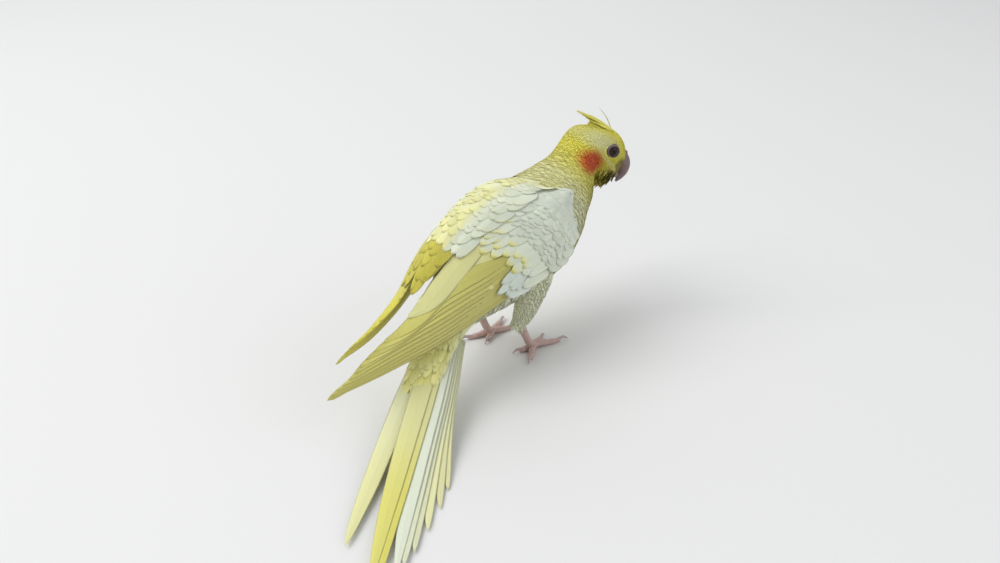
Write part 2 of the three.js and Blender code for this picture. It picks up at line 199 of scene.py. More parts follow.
# %% [markdown]
# A folded wing is a second surface. Its upper edge lies along the back and its lower edge along the
# flank, and the surface swells between them. The first number runs from the bend to the tip, and the
# second from the upper edge to the lower one. The far wing is held a little higher towards its tip. On
# the bird this is the arm with its rows of feathers pressed against the side. It could be part of the
# body's tube, but behind the flank the wing stands clear of the body, so it has a surface of its own.

# %% The wing's edges
WING_UPPER = np.array([
    [46, -12, 86], [22, -10, 89], [-4, -8.5, 85.5], [-26, -7, 75.5], [-44, -5, 62.5],
    [-60, -3, 48], [-79, -2, 39.5], [-99, -2, 33], [-112, -2.5, 28],
])
WING_LOWER = np.array([
    [55, -20, 76], [44, -26.5, 65], [26, -28.5, 54], [2, -27.5, 49], [-24, -24.5, 43],
    [-50, -18, 35], [-72, -12, 30.5], [-92, -7.5, 28], [-112, -3.5, 27],
])
WING_BULGE, BULGE_FADE = 9.0, 0.8  # mm, and the power of its fading towards the tip
EDGE_TUCK = 6.0  # mm that the surface sinks for each whole width past an edge
FAR_LIFT, FAR_SHORT = 13.0, 9.0  # mm up and forward at the far wing's tip
RIGHT, LEFT = -1, 1
SIDES = ((RIGHT, "right"), (LEFT, "left"))


def wing_surface(side):
    """The wing's outside at u from bend to tip and v from upper to lower edge: the straight line between
    the edges, plus the bulge times sin(pi v) square to it, fading to nothing at the tip. The left wing
    rises with u to the power 1.6 and is drawn forward with u cubed."""

    def surface(u, v, lift):
        places = u * (len(WING_UPPER) - 1)
        upper, lower = through(WING_UPPER, places), through(WING_LOWER, places)
        span = lower - upper
        out = unit(np.stack([np.zeros_like(u), -np.abs(span[:, 2]), np.abs(span[:, 1])], -1))
        bulge = WING_BULGE * np.sin(np.pi * np.clip(v, 0, 1)) * np.clip(1 - u, 0, 1) ** BULGE_FADE
        tuck = EDGE_TUCK * (np.minimum(v, 0) + np.minimum(1 - v, 0))
        point = upper + span * v[:, None] + out * (bulge + lift + tuck)[:, None]
        if side == LEFT:
            back = np.clip(u, 0, 1)
            point[:, 0] += FAR_SHORT * back ** 3
            point[:, 2] += FAR_LIFT * back ** 1.6
        point[:, 1] *= -side
        return point

    return surface


# %% [markdown]
# A mesh is filled from whole arrays: points, triangles and four-sided faces, with smooth shading, named
# UV maps and named attributes. The maps are given at each point and copied to the face corners. Points
# could be added one by one, but hundreds of thousands of them would take minutes, and whole arrays take a
# moment.

# %% Filling a mesh
rng = np.random.default_rng(41)


def fill(name, points, faces, maps=None, marks=None):
    """A new object from drawing-frame points in millimetres and arrays of faces of one size each."""
    mesh = bpy.data.meshes.new(name)
    place = ((np.asarray(points) - SHIFT) / PER_METRE).astype(np.float32)
    mesh.vertices.add(len(place))
    mesh.vertices.foreach_set("co", place.ravel())
    corners = np.concatenate([f.ravel() for f in faces]).astype(np.int32)
    sizes = np.concatenate([np.full(len(f), f.shape[1]) for f in faces])
    mesh.loops.add(len(corners))
    mesh.loops.foreach_set("vertex_index", corners)
    mesh.polygons.add(len(sizes))
    mesh.polygons.foreach_set("loop_start", (np.cumsum(sizes) - sizes).astype(np.int32))
    mesh.update(calc_edges=True)
    mesh.polygons.foreach_set("use_smooth", np.ones(len(sizes), dtype=bool))
    for map_name, uv in (maps or {}).items():
        layer = mesh.uv_layers.new(name=map_name)
        layer.data.foreach_set("uv", uv[corners].astype(np.float32).ravel())
    for mark_name, value in (marks or {}).items():
        value = np.asarray(value, dtype=np.float32)
        kind, key = ("FLOAT_COLOR", "color") if value.ndim == 2 else ("FLOAT", "value")
        mesh.attributes.new(mark_name, kind, "POINT").data.foreach_set(key, value.ravel())
    obj = bpy.data.objects.new(name, mesh)
    bpy.context.scene.collection.objects.link(obj)
    print(f"{name}: {len(place)} points, {int((sizes - 2).sum())} triangles")
    return obj


def stand_in(piece, slot, *nodes):
    """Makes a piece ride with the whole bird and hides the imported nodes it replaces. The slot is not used."""
    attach(piece, "root")
    if nodes:
        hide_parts(*nodes)
    return piece


def smooth(x, low, high):
    """Rises from 0 at low to 1 at high with no corner: 3t squared less 2t cubed."""
    t = np.clip((x - low) / (high - low), 0, 1)
    return t * t * (3 - 2 * t)


# %% [markdown]
# Every closed shape is made from rings of points: a tube has its two ends closed by fans, and a loop
# meets itself. The sign of the volume says whether the faces look outwards, and they are reversed if they
# don't.

# %% Closed shapes from rings
def full_turn(count):
    """Equal angles once round, without the last one that would repeat the first."""
    return np.linspace(0, 2 * np.pi, count, endpoint=False)


def grid_faces(rows, columns, looped=False):
    """Four-sided faces of a grid of points, closed round each row, and from last row to first if looped."""
    i, j = np.meshgrid(np.arange(rows if looped else rows - 1), np.arange(columns), indexing="ij")
    row, next_row, k = i * columns, (i + 1) % rows * columns, (j + 1) % columns
    return np.stack([row + j, row + k, next_row + k, next_row + j], -1).reshape(-1, 4)


def cap_faces(ring_start, columns, point, flip):
    """A fan of triangles from a ring of points to one point."""
    here, there = ring_start + np.arange(columns), ring_start + (np.arange(columns) + 1) % columns
    pair = [there, here] if flip else [here, there]
    return np.stack([*pair, np.full(columns, point)], -1)


def turned_out(points, faces):
    """The same faces, all reversed if the closed shape they make has a negative volume."""
    volume = 0.0
    for f in faces:
        for k in range(1, f.shape[1] - 1):
            a, b, c = points[f[:, 0]], points[f[:, k]], points[f[:, k + 1]]
            volume += np.einsum("ij,ij->", a, np.cross(b, c))
    return [f[:, ::-1] for f in faces] if volume < 0 else faces


def tube(rings):
    """Points and outward faces of a closed solid through rings, an array of rows, columns and x y z."""
    rows, columns, _ = rings.shape
    points = np.concatenate([rings.reshape(-1, 3), rings[:1].mean(1), rings[-1:].mean(1)])
    total = rows * columns
    caps = [cap_faces(0, columns, total, True), cap_faces(total - columns, columns, total + 1, False)]
    return points, turned_out(points, [grid_faces(rows, columns), np.concatenate(caps)])


def loop(rings):
    """Points and outward faces of a ring-shaped solid, whose last row of points meets its first."""
    points = rings.reshape(-1, 3)
    return points, turned_out(points - points.mean(0), [grid_faces(*rings.shape[:2], looped=True)])


def joined(parts):
    """Several point and face sets as one."""
    points, quads, tris, start = [], [], [], 0
    for part_points, faces in parts:
        points.append(part_points)
        for f in faces:
            (quads if f.shape[1] == 4 else tris).append(f + start)
        start += len(part_points)
    return np.concatenate(points), [np.concatenate(f) for f in (quads, tris) if f]


# %% [markdown]
# Markings are soft masks worked out from a point's own place, never painted into a picture. Yellow is
# strongest on the head and thins to cream on the body, and the orange cheek patch is a soft round spot on
# each side of the head. Olive darkens the colour round the bill, down the front of the neck and faintly
# over the head; it is painted shade, not a pigment. Skin and feathers both ask this one function, so they
# agree everywhere. On the bird the yellow, cheek and grey patches are changes of pigment from feather to
# feather. A painted picture could show them, but a formula has no pixels and no seam.

# %% Markings
# A mark on the side of the head has its middle ahead and above, the reach of its full colour, the reach of
# its soft edge, and what the distances ahead and above are multiplied by.
CHEEK = ((-13.8, -6.9), 3.24, 8.64, (0.68, 0.98))
# The chin and lores marks only feed the olive, which is painted shade below and round the bill.
CHIN_SHADE = ((8.0, -12.0), 3.0, 9.0, (1.0, 1.0))
LORES_SHADE = ((9.5, -5.0), 1.5, 5.5, (1.0, 1.0))
EYE_BAND = ((-10.0, 5.0), 1.5, 7.0, (0.4, 1.0))
UNDER_EYE_DROP, UNDER_EYE_SLOPE = 5.3, 0.5  # the pale line under the eye, falling towards the bill
FACE_END, HEAD_END, CHEEK_END = 4, 5, 7  # ring places where marks stop
LEAST_YELLOW = 0.12


def head_mark(place, middle, full, edge, squeeze):
    """1 within full mm of a mark's middle, seen from the side, falling softly to 0 at edge mm."""
    away = np.hypot((place[:, 0] - middle[0]) * squeeze[0], (place[:, 2] - middle[1]) * squeeze[1])
    return 1 - smooth(away, full, edge)


def markings(points, s, turn):
    """Masks for yellow, cheek, olive and grey as a colour of four numbers for each point, where olive
    is painted shade. Yellow is the strongest of hood, back, front and rump, and olive and grey are sums of
    their own soft masks."""
    place = in_head(points)
    ahead, aside, above = place[:, 0], np.abs(place[:, 1]), place[:, 2]
    cheek = head_mark(place, *CHEEK) * smooth(aside, 1.5, 4) * (s < CHEEK_END)
    hood = 1 - 0.75 * smooth(s, 4.4, 6.8) - 0.25 * smooth(s, 6.4, 9)
    back = 0.5 * smooth(np.cos(turn), -0.1, 0.8)
    front = 0.7 * smooth(-np.cos(turn), -0.2, 0.8) * (1 - smooth(s, 6.8, 9.5))
    rump = 0.45 * smooth(s, 11.5, 12.8)
    yellow = np.clip(np.maximum.reduce([hood, back, front, rump, np.full_like(s, LEAST_YELLOW)]), 0, 1)
    from_line = np.abs(above + UNDER_EYE_DROP + UNDER_EYE_SLOPE * ahead) * 0.9
    pale_line = (1 - smooth(from_line, 0.6, 1.7)) * smooth(ahead, -12, -8) * (1 - smooth(ahead, 7, 10))
    pale_line *= (s < FACE_END) * (aside > 3)
    # Olive is painted shade: at the chin, round the bill, on the front of the neck and faintly over the hood,
    # lightened along the pale line.
    olive = (0.9 * head_mark(place, *CHIN_SHADE) + head_mark(place, *LORES_SHADE)) * (s < FACE_END)
    olive = np.clip((olive + 0.55 * front + 0.06 * hood) * (1 - 0.8 * pale_line), 0, 1)
    band = head_mark(place, *EYE_BAND) * (s < HEAD_END)
    yellow *= 1 - 0.4 * band - 0.3 * pale_line
    grey = 0.16 * band + 0.15 * smooth(s, 6.5, 8.5)
    return np.stack([yellow, cheek, olive, grey], -1)


# %% [markdown]
# The skin is the body's own tube drawn in by the depth of the coat, with the thighs and the flat flesh of
# the wings beside it. It is only seen where feathers part, but it closes the form behind them. Under the
# folded wings it lies 2 mm deeper, to leave the flight feathers room. The skin could be left out, but
# light would then shine through the gaps in the coat.

# %% Skin
COAT_DEPTH, THIGH_COAT = 1.5, 1.2
SKIN_SIDES, SKIN_STEP = 96, 0.08
WING_ROOM = 2.0  # mm that the skin lies deeper under a folded wing
WING_TURN = 1.25  # radians from the back to the middle of the flank under a wing

THIGH_LINE = np.array([[34, 11, 52], [26, 13.5, 40], [16.5, 13.8, 26], [11.6, 13.4, 20]], dtype=float)
HIP_RADIUS, ANKLE_RADIUS = 11.5, 3.9


def thigh_surface(side):
    """A tube round the thigh's line: u runs from the hip to the ankle, v is the turn round it. Its radius
    falls from hip to ankle with u to the power 0.85."""
    line = THIGH_LINE * [1, side, 1]
    last = len(line) - 1

    def surface(u, v, lift):
        middle = through(line, u * last)
        along = unit(through(line, u * last + 0.01) - middle)
        aside = unit(np.cross(along, [0.0, 1.0, 0.0]))
        over = np.cross(along, aside)
        radius = HIP_RADIUS - (HIP_RADIUS - ANKLE_RADIUS) * np.clip(u, 0, 1) ** 0.85 + lift
        return middle + aside * (np.cos(v) * radius)[:, None] + over * (np.sin(v) * radius)[:, None]

    return surface


def sampled(surface, a_values, b_values, lift):
    """A surface function on a grid of its two numbers, as rows, columns and x y z."""
    a, b = np.meshgrid(a_values, b_values, indexing="ij")
    lifted = np.broadcast_to(np.asarray(lift, dtype=float), a.shape).ravel()
    return surface(a.ravel(), b.ravel(), lifted).reshape(*a.shape, 3)


BEND_DROP = 6.5


def front_drop(u):
    """How far the wing's front edge sinks into the body's feathers, in mm: most at the bend, 0 behind it."""
    return BEND_DROP * (1 - smooth(u, -0.01, 0.15))


def from_back(turn):
    """How far a turn is from the back, to either side, in radians."""
    return np.abs((turn + np.pi) % (2 * np.pi) - np.pi)


def wing_flesh(side):
    """The folded arm: the wing surface drawn in, closed by a second sheet nearer the body."""
    u, v = np.linspace(0.09, 0.38, 36), np.linspace(0.08, 0.86, 24)
    deep = 6.0 - 5.0 * np.minimum(1, u / 0.62)
    outer = sampled(wing_surface(side), u, v, -2.6 - front_drop(u)[:, None])
    inner = outer + np.stack([0 * deep, -side * 0.8 * deep, -0.35 * deep], -1)[:, None, :]
    return tube(np.concatenate([outer, inner[:, ::-1]], 1))


around = full_turn(SKIN_SIDES)
body_places = np.arange(0, LAST_RING + SKIN_STEP / 2, SKIN_STEP)
under_wing = 1 - smooth(np.abs(from_back(around) - WING_TURN), 0.3, 0.6)
along_wing = smooth(body_places, 9, 10) * (1 - smooth(body_places, 11.6, 12.6))
skin_lift = -COAT_DEPTH - WING_ROOM * along_wing[:, None] * under_wing[None, :]
parts = [tube(sampled(body, body_places, around, skin_lift))]
for side, _ in SIDES:
    parts.append(tube(sampled(thigh_surface(side), np.linspace(0, 1, 24), around[::4], -THIGH_COAT)))
    parts.append(wing_flesh(side))
skin_points, skin_faces = joined(parts)

# %% [markdown]
# The skin's markings need each point's ring place and turn. The body tube has them from its own grid, and
# the thighs and wings take the values of the pale flank. The skin stands for head, neck, trunk and rump.
# They could be one flat colour, but a gap in the hood would then show pale skin.

# %% Skin markings
FLANK_RING = 9.0
body_count = len(parts[0][0])
s_grid, turn_grid = np.meshgrid(body_places, around, indexing="ij")
skin_s = np.full(len(skin_points), FLANK_RING)
skin_turn = np.full(len(skin_points), np.pi / 2)
skin_s[:body_count] = np.concatenate([s_grid.ravel(), [0, LAST_RING]])
skin_turn[:body_count] = np.concatenate([turn_grid.ravel(), [0, 0]])
skin = fill("skin", skin_points, skin_faces, marks={
    "mark": markings(skin_points, skin_s, skin_turn),
    "tone": np.full(len(skin_points), 0.5),
})
stand_in(skin, "pale_feathers", "head", "neck", "trunk", "rump")

# %% [markdown]
# A small body feather is made of barb locks: narrow closed spikes that start together at the quill,
# spread like the ribs of a fan and end in a ragged round edge. That edge is what makes plumage look soft.
# Each lock has only eight points, so thousands of feathers stay affordable. A covert is a neat closed
# blade instead, with a raised shaft. A flat leaf whose edge is cut by a mask would be lighter, but it has
# no thickness, and many viewers lose the mask.


# %% Feather patterns
LOCK_RIDGE = 0.09  # mm that the ridge of a lock stands above its edges


def lock_pattern(count, spread, reach):
    """Points (u along, v across, height in mm) and faces of a feather of barb locks. The middle lock is the
    longest. With its share of the way out, a lock ends further aside and its tip falls back to reach."""
    points, quads, tris = [], [], []
    half = 1.6 * spread / (count - 1)
    for n in range(count):
        j = n - (count - 1) / 2
        far = abs(j) / ((count - 1) / 2)
        tip = np.array([1 - (1 - reach) * far ** 1.8, np.sign(j) * spread * far ** 0.8])
        start = len(points)
        points.append([0.0, 0.0, 0.0])
        for t, wide in ((0.4, 1.0), (0.78, 0.85)):
            along, across = tip * [t, t ** 0.7]
            points += [[along, across - half * wide, 0.0], [along, across + half * wide, 0.0]]
            points.append([along, across, LOCK_RIDGE])
        points.append([*tip, LOCK_RIDGE / 3])
        a, b, c, d, e, f, g, h = range(start, start + 8)
        tris += [[a, d, b], [a, c, d], [a, b, c], [h, e, g], [h, g, f], [h, f, e]]
        quads += [[b, d, g, e], [d, c, f, g], [c, b, e, f]]
    return np.array(points), [np.array(quads), np.array(tris)]


COVERT_ACROSS = np.array([-1, -0.8, -0.3, 0, 0.3, 0.8, 1, 0.55, -0.55])
COVERT_HEIGHT = np.array([-0.05, 0.01, 0.02, 0.06, 0.02, 0.01, -0.05, -0.10, -0.10])  # mm


def blade_pattern(rows, tip_power):
    """Points and faces of a neat closed feather: rings of seven points over and two under. It opens from
    the quill and closes as the square root of 1 less u to the tip power, which sets how round the tip is."""
    u = np.linspace(0.03, 0.985, rows)
    wide = (0.35 + 0.65 * smooth(u, 0, 0.45)) * (1 - u ** tip_power) ** 0.5
    along = u[:, None] - 0.05 * COVERT_ACROSS ** 2 * wide[:, None]
    height = np.broadcast_to(COVERT_HEIGHT, along.shape)
    return tube(np.stack([along, COVERT_ACROSS * wide[:, None], height], -1))


TUFT = lock_pattern(3, 0.75, 0.8)
CONTOUR = lock_pattern(7, 0.95, 0.62)
COVERT = blade_pattern(8, 5)
LONG_COVERT = blade_pattern(10, 3.5)


# %% [markdown]
# To lay feathers, each root gets a length, a half width, a turn away from the straight lie and a rise.
# The pattern's points are then carried onto the surface by its own two numbers, so a feather bends with
# the body under it. Its root starts under the coat and its tip comes up to the coat's depth, which makes
# feathers overlap like shingles: the one rooted nearer the head is always on top. Feathers could be
# scattered over the faces at random, but on a bird they stand in rows, and rows cover it evenly.

# %% Laying feathers
PATCH = 0.003  # side of a feather's patch on the unwrap of the skin
STEP = 1e-3


def lay(surface, a, b, length, half, turn_by, pattern, low, high, raise_tip, camber=0.25):
    """Feathers for roots a, b on a surface. Millimetres along and across are turned into steps of a and b by
    the surface's own stretch at the root. The lift goes from low at the root to high, plus raise_tip times u
    squared, less camber times v squared."""
    shape, faces = pattern
    count, m = len(a), len(shape)
    zero = np.zeros(count)
    here = surface(a, b, zero)
    stretch_a = np.linalg.norm(surface(a + STEP, b, zero) - here, axis=1)[:, None] / STEP
    stretch_b = np.linalg.norm(surface(a, b + STEP, zero) - here, axis=1)[:, None] / STEP
    u, v, rise = shape[:, 0], shape[:, 1], shape[:, 2]
    along, across = length[:, None] * u, half[:, None] * v
    c, d = np.cos(turn_by)[:, None], np.sin(turn_by)[:, None]
    place_a = a[:, None] + (along * c - across * d) / stretch_a
    place_b = b[:, None] + (along * d + across * c) / stretch_b
    scruff = rng.normal(0, 0.3, (count, 1))
    twist = rng.normal(0, 0.25 * min(raise_tip, 0.4), (count, 1))
    rising = 0.6 * smooth(u, 0, 0.5) + 0.4 * u
    lift = low + (high - low) * rising + (raise_tip * (1 + scruff)) * u ** 2
    lift = lift - camber * v ** 2 + rise + twist * v
    points = surface(place_a.ravel(), place_b.ravel(), lift.ravel())
    starts = (np.arange(count) * m)[:, None, None]
    outward = turned_out(points[:m] - points[:m].mean(0), faces)
    return {
        "points": points,
        "faces": [(f + starts).reshape(-1, f.shape[1]) for f in outward],
        "vane": np.tile(np.stack([u, (v + 1) / 2], -1), (count, 1)),
        "a": place_a.ravel(),
        "b": place_b.ravel(),
        "tone": np.repeat(rng.random(count), m),
        "root": np.repeat(np.stack([a, b], -1), m, axis=0),
    }


def merged(made):
    """Several sets of laid feathers as one."""
    whole = {key: np.concatenate([m[key] for m in made]) for key in made[0] if key != "faces"}
    starts = np.cumsum([0] + [len(m["points"]) for m in made])
    whole["faces"] = [f + start for m, start in zip(made, starts) for f in m["faces"]]
    return whole


LINE_POINTS = 64  # points on a line across the surface when its length is measured


def rows_on(surface, a_from, a_to, row_gap, gap, b_low, b_high, keep=None):
    """Roots in staggered rows: rows are row_gap apart and roots gap apart, in mm, with a little scatter.
    Both gaps may be functions of the place along the surface."""
    found = []
    place, row = a_from, 0
    while place < a_to:
        b, zero = np.linspace(b_low, b_high, LINE_POINTS), np.zeros(LINE_POINTS)
        line = surface(zero + place, b, zero)
        girth = np.linalg.norm(np.diff(line, axis=0), axis=1).sum()
        ahead = surface(zero + place + 0.01, b, zero)
        stretch = np.linalg.norm(ahead - line, axis=1).mean() / 0.01
        row_step = row_gap(place) if callable(row_gap) else row_gap
        root_gap = gap(place) if callable(gap) else gap
        n = max(int(girth / root_gap), 3)
        roots = b_low + (b_high - b_low) * (np.arange(n) + 0.5 * (row % 2) + 0.25) / n
        scatter = rng.normal(0, 0.15, (2, n))
        found.append(np.stack([
            place + scatter[0] * row_step / stretch,
            roots + scatter[1] * root_gap * (b_high - b_low) / girth,
        ], -1))
        place += row_step / stretch
        row += 1
    roots = np.concatenate(found)
    return roots[keep(roots[:, 0], roots[:, 1])] if keep else roots


def feather_piece(name, laid, unwrap, mark):
    """One object from laid feathers. The OFBake map puts each feather's small patch where its root lies on
    the unwrap of the skin, and the vane map runs along and across each feather."""
    patch = unwrap(*laid["root"].T) + (laid["vane"] - 0.5) * PATCH
    maps = {"OFBake": patch, "vane": laid["vane"]}
    return fill(name, laid["points"], laid["faces"], maps, {"mark": mark, "tone": laid["tone"]})


MAP_EDGE, MAP_SPAN = 0.01, 0.98


def body_unwrap(s, turn):
    """The skin rolled flat: the turn across the map and the ring place up it."""
    across, up = (turn / (2 * np.pi)) % 1.0, np.clip(s / LAST_RING, 0, 1)
    return np.stack([across * MAP_SPAN + MAP_EDGE, up * MAP_SPAN + MAP_EDGE], -1)


def body_mark(laid):
    """The body's markings at each feather point."""
    return markings(laid["points"], laid["a"], laid["b"])


# %% [markdown]
# The coat of the head and neck is shortest at the bill and grows towards the nape, so length, width and
# spacing are curves along the rings. A clear ring is left round each eye. Roots under the folded wings
# are skipped, because nothing of them shows. On the bird these are the contour feathers, which give it
# its smooth outline. One length for all would be simpler, but the face would look shaggy.

# %% Head, neck and body feathers
LENGTH_RINGS = [0, 1, 2.5, 4, 5, 6, 8, 10, 12, 14]
LENGTHS = [1.5, 2.1, 2.9, 4.2, 6.0, 8.0, 10.5, 12, 13, 14]  # mm at those ring places
BARE_EYE = 3.6  # mm round the middle of the eye that feathers leave bare
COAT_TOP = -0.25  # mm above the body's outside to which a feather's shaft rises


def body_length(s):
    """The length in mm of a body feather rooted at ring place s."""
    return np.interp(s, LENGTH_RINGS, LENGTHS)


def clear_of_eye(s, turn):
    """True where neither the root, the middle nor the tip of a feather comes near an eye."""
    clear = np.ones(len(s), dtype=bool)
    base = body(s, turn, np.zeros_like(s))
    along = unit(body(s + 0.01, turn, np.zeros_like(s)) - base)
    for share in (0.0, 0.5, 1.0):
        place = in_head(base + along * (body_length(s) * share)[:, None])
        near = np.hypot(place[:, 0] - EYE_PLACE[0], place[:, 2] - EYE_PLACE[2])
        clear &= ~((near < BARE_EYE) & (np.abs(place[:, 1]) > 5))
    return clear


def not_hidden(s, turn):
    """False for the flank under the folded wings."""
    side = from_back(turn)
    return ~((s > 8.4) & (s < 11.3) & (side > 0.85) & (side < 1.6))


def plumage(name, s_from, s_to, pattern, width, row_share, gap_share, keep, wild, raise_tip, low, slot):
    """A stretch of the body's coat as one object. The feathers' width and both gaps between them are shares
    of their length."""
    roots = rows_on(
        body, s_from, s_to,
        lambda s: body_length(s) * row_share, lambda s: body_length(s) * gap_share,
        0, 2 * np.pi, keep,
    )
    s, turn = roots.T
    length = body_length(s) * rng.normal(1, 0.12, len(s))
    laid = lay(body, s, turn, length, length * width, rng.normal(0, wild, len(s)), pattern,
               low, COAT_TOP, raise_tip)
    stand_in(feather_piece("plumage_" + name, laid, body_unwrap, body_mark(laid)), slot)


for stretch in (
    # ring from, ring to, pattern, width, row gap, root gap, roots kept, scatter, tip's rise, root's depth
    ("face", 0.02, 2.0, TUFT, 0.30, 0.26, 0.30, clear_of_eye, 0.16, 0.10, -0.7, "head_feathers"),
    ("head", 2.0, 4.6, TUFT, 0.28, 0.22, 0.24, clear_of_eye, 0.06, 0.05, -1.5, "head_feathers"),
    ("neck", 4.6, 6.6, CONTOUR, 0.32, 0.20, 0.30, None, 0.05, 0.10, -2.3, "head_feathers"),
    ("trunk", 6.6, 11.4, CONTOUR, 0.36, 0.22, 0.34, not_hidden, 0.05, 0.12, -2.6, "pale_feathers"),
    ("rump", 11.4, LAST_RING - 0.1, CONTOUR, 0.36, 0.20, 0.34, None, 0.06, 0.14, -2.6, "pale_feathers"),
):
    plumage(*stretch)

# %% [markdown]
# Loose pointed tufts hang from the chin under the bill. They are rooted like the rest, but their tips
# stand away from the throat and are a little more olive, which is painted shade under the bill. They
# could be longer feathers of the face, but only here do the tips hang free, so they are laid by themselves.

# %% Chin tufts
roots = rows_on(body, 0.8, 2.7, 1.5, 1.8, np.pi - 0.9, np.pi + 0.9)
n = len(roots)
laid = lay(body, *roots.T, rng.normal(6.2, 0.8, n), rng.normal(1.5, 0.15, n), rng.normal(0, 0.14, n),
           TUFT, low=-0.8, high=0.6, raise_tip=2.4)
# The extra olive on the tufts is painted shade under the bill.
chin_mark = np.clip(body_mark(laid) + [0, 0, 0.1, 0], 0, 1)
stand_in(feather_piece("plumage_chin", laid, body_unwrap, chin_mark), "head_feathers")

# %% [markdown]
# The thighs wear the same small feathers down to the ankle. They ride on the thigh's own surface, whose
# first number runs from the hip to the ankle. They could belong to the body's tube, but the leg leaves it
# at an angle that no ring can follow.


# %% Thigh feathers
def thigh_unwrap(side):
    """The thigh rolled flat, in a place of its own on the map for each side."""
    start = 0.2 if side == RIGHT else 0.7

    def unwrap(u, v):
        return np.stack([start + 0.1 * ((v / (2 * np.pi)) % 1), 0.55 + 0.1 * np.clip(u, 0, 1)], -1)

    return unwrap


for side, word in SIDES:
    thigh = thigh_surface(side)
    roots = rows_on(thigh, 0.2, 0.93, 1.3, 1.4, 0, 2 * np.pi)
    n = len(roots)
    length = np.interp(roots[:, 0], [0.2, 1], [8.5, 5.0]) * rng.normal(1, 0.1, n)
    laid = lay(thigh, *roots.T, length, length * 0.24, rng.normal(0, 0.06, n),
               TUFT, low=-2.0, high=0.0, raise_tip=0.1)
    pale = np.tile([LEAST_YELLOW, 0, 0, 0.12], (len(laid["points"]), 1))
    piece = feather_piece("plumage_thigh_" + word, laid, thigh_unwrap(side), pale)
    stand_in(piece, "pale_feathers", "thigh_" + word)

# %% [markdown]
# Flight feathers are long closed blades. Each follows a path of its own, with a half width at every
# place, a side direction and an outward direction. The two webs rise slightly from edge to shaft, the tip
# is drawn to a soft point, and the blades lie one on another in the order of the folded wing. One sheet
# with lines drawn on it could stand for a whole wing, but the steps between the tips and the thin shadows
# between the blades would be missing.


# %% Long blades
BLADE_ROWS = 30
BLADE_TOP = np.array([-1, -0.82, -0.45, -0.08, 0, 0.08, 0.45, 0.82, 1])
BLADE_COLUMNS = np.concatenate([BLADE_TOP, [0.6, 0, -0.6]])
BLADE_RISE = np.array([0, 0.2, 0.32, 0.32, 0.6, 0.32, 0.32, 0.2, 0, -0.6, -0.6, -0.6])  # times the thickness


def long_blade(path, across, out, half, thick, camber):
    """Rings of a blade: at each path point, nine points over the top and three below, spread along across by
    the half width and raised along out by the camber, which falls off with the square of the distance from
    the shaft."""
    wide = half[:, None] * BLADE_COLUMNS
    high = BLADE_RISE * thick - camber * half[:, None] / half.max() * BLADE_COLUMNS ** 2
    rings = path[:, None, :] + across[:, None, :] * wide[..., None] + out[:, None, :] * high[..., None]
    points, faces = tube(rings)
    u = np.linspace(0, 1, len(path))[:, None]
    vane = np.stack(np.broadcast_arrays(u, (BLADE_COLUMNS + 1) / 2), -1).reshape(-1, 2)
    return points, faces, np.concatenate([vane, [[0, 0.5], [1, 0.5]]])


def blade_width(u, wide, point, base=0.45):
    """Half width along a blade: it opens from the quill and closes to a soft point."""
    return wide * (base + (1 - base) * smooth(u, 0, 0.3)) * np.clip(1 - u ** point, 0, 1) ** 0.62 + 0.05


def blade_piece(name, blades, colours, roots, slot, replaced, ripe_from=1.0):
    """One object from blades, each with its own mark, a random tone and a patch of the map at its root. The
    mark's yellow grows from the share ripe_from at the quill to the whole at the tip."""
    points, faces = joined([blade[:2] for blade in blades])
    vane = np.concatenate([blade[2] for blade in blades])
    sizes = [len(blade[0]) for blade in blades]
    mark = np.repeat(np.array(colours, dtype=float), sizes, axis=0)
    mark[:, 0] *= ripe_from + (1 - ripe_from) * smooth(vane[:, 0], 0.3, 0.7)
    tone = np.repeat(rng.random(len(blades)), sizes)
    patch = np.repeat(np.array(roots), sizes, axis=0) + (vane - 0.5) * PATCH
    piece = fill(name, points, faces, {"OFBake": patch, "vane": vane}, {"mark": mark, "tone": tone})
    return stand_in(piece, slot, *replaced)


FLIGHT_THICK, TAIL_THICK, PLUME_THICK = 0.16, 0.15, 0.12
SMOOTHED_OVER = 5  # rows over which a blade's middle line is evened out


def wing_blade(side, u0, u1, lower_gap, wide, point, lift, camber=0.7):
    """A blade on the wing from u0 to u1. Its lower edge keeps lower_gap mm from the wing's lower edge, so its
    middle lies one half width further in, and it never leaves the upper edge."""
    surface = wing_surface(side)
    t = np.linspace(0, 1, BLADE_ROWS)
    u = u0 + (u1 - u0) * t
    zero = np.zeros_like(u)
    span = np.maximum(np.linalg.norm(surface(u, zero + 1, zero) - surface(u, zero, zero), axis=1), 1)
    half = blade_width(t, wide, point)
    centre = np.clip(1 - (lower_gap + half) / span, np.minimum(half / span, 0.5), 1)
    centre = np.pad(centre, SMOOTHED_OVER // 2, mode="edge")
    centre = np.convolve(centre, np.ones(SMOOTHED_OVER) / SMOOTHED_OVER, mode="valid")
    path = surface(u, centre, zero + lift)
    across = unit(surface(u, centre + 0.02, zero) - surface(u, centre - 0.02, zero))
    out = unit(np.cross(np.gradient(path, axis=0), across))
    if (out @ [0.0, side, 1.0]).mean() < 0:
        out = -out
    return long_blade(path, across, out, half, FLIGHT_THICK, camber)


# %% [markdown]
# Each wing has ten primaries, whose tips step back along the lower edge, and eight pale inner secondaries
# that lie over their bases. The outermost primary is the longest and lies lowest. They could be placed
# one by one, but a loop over each feather's share of the wing keeps the steps even.

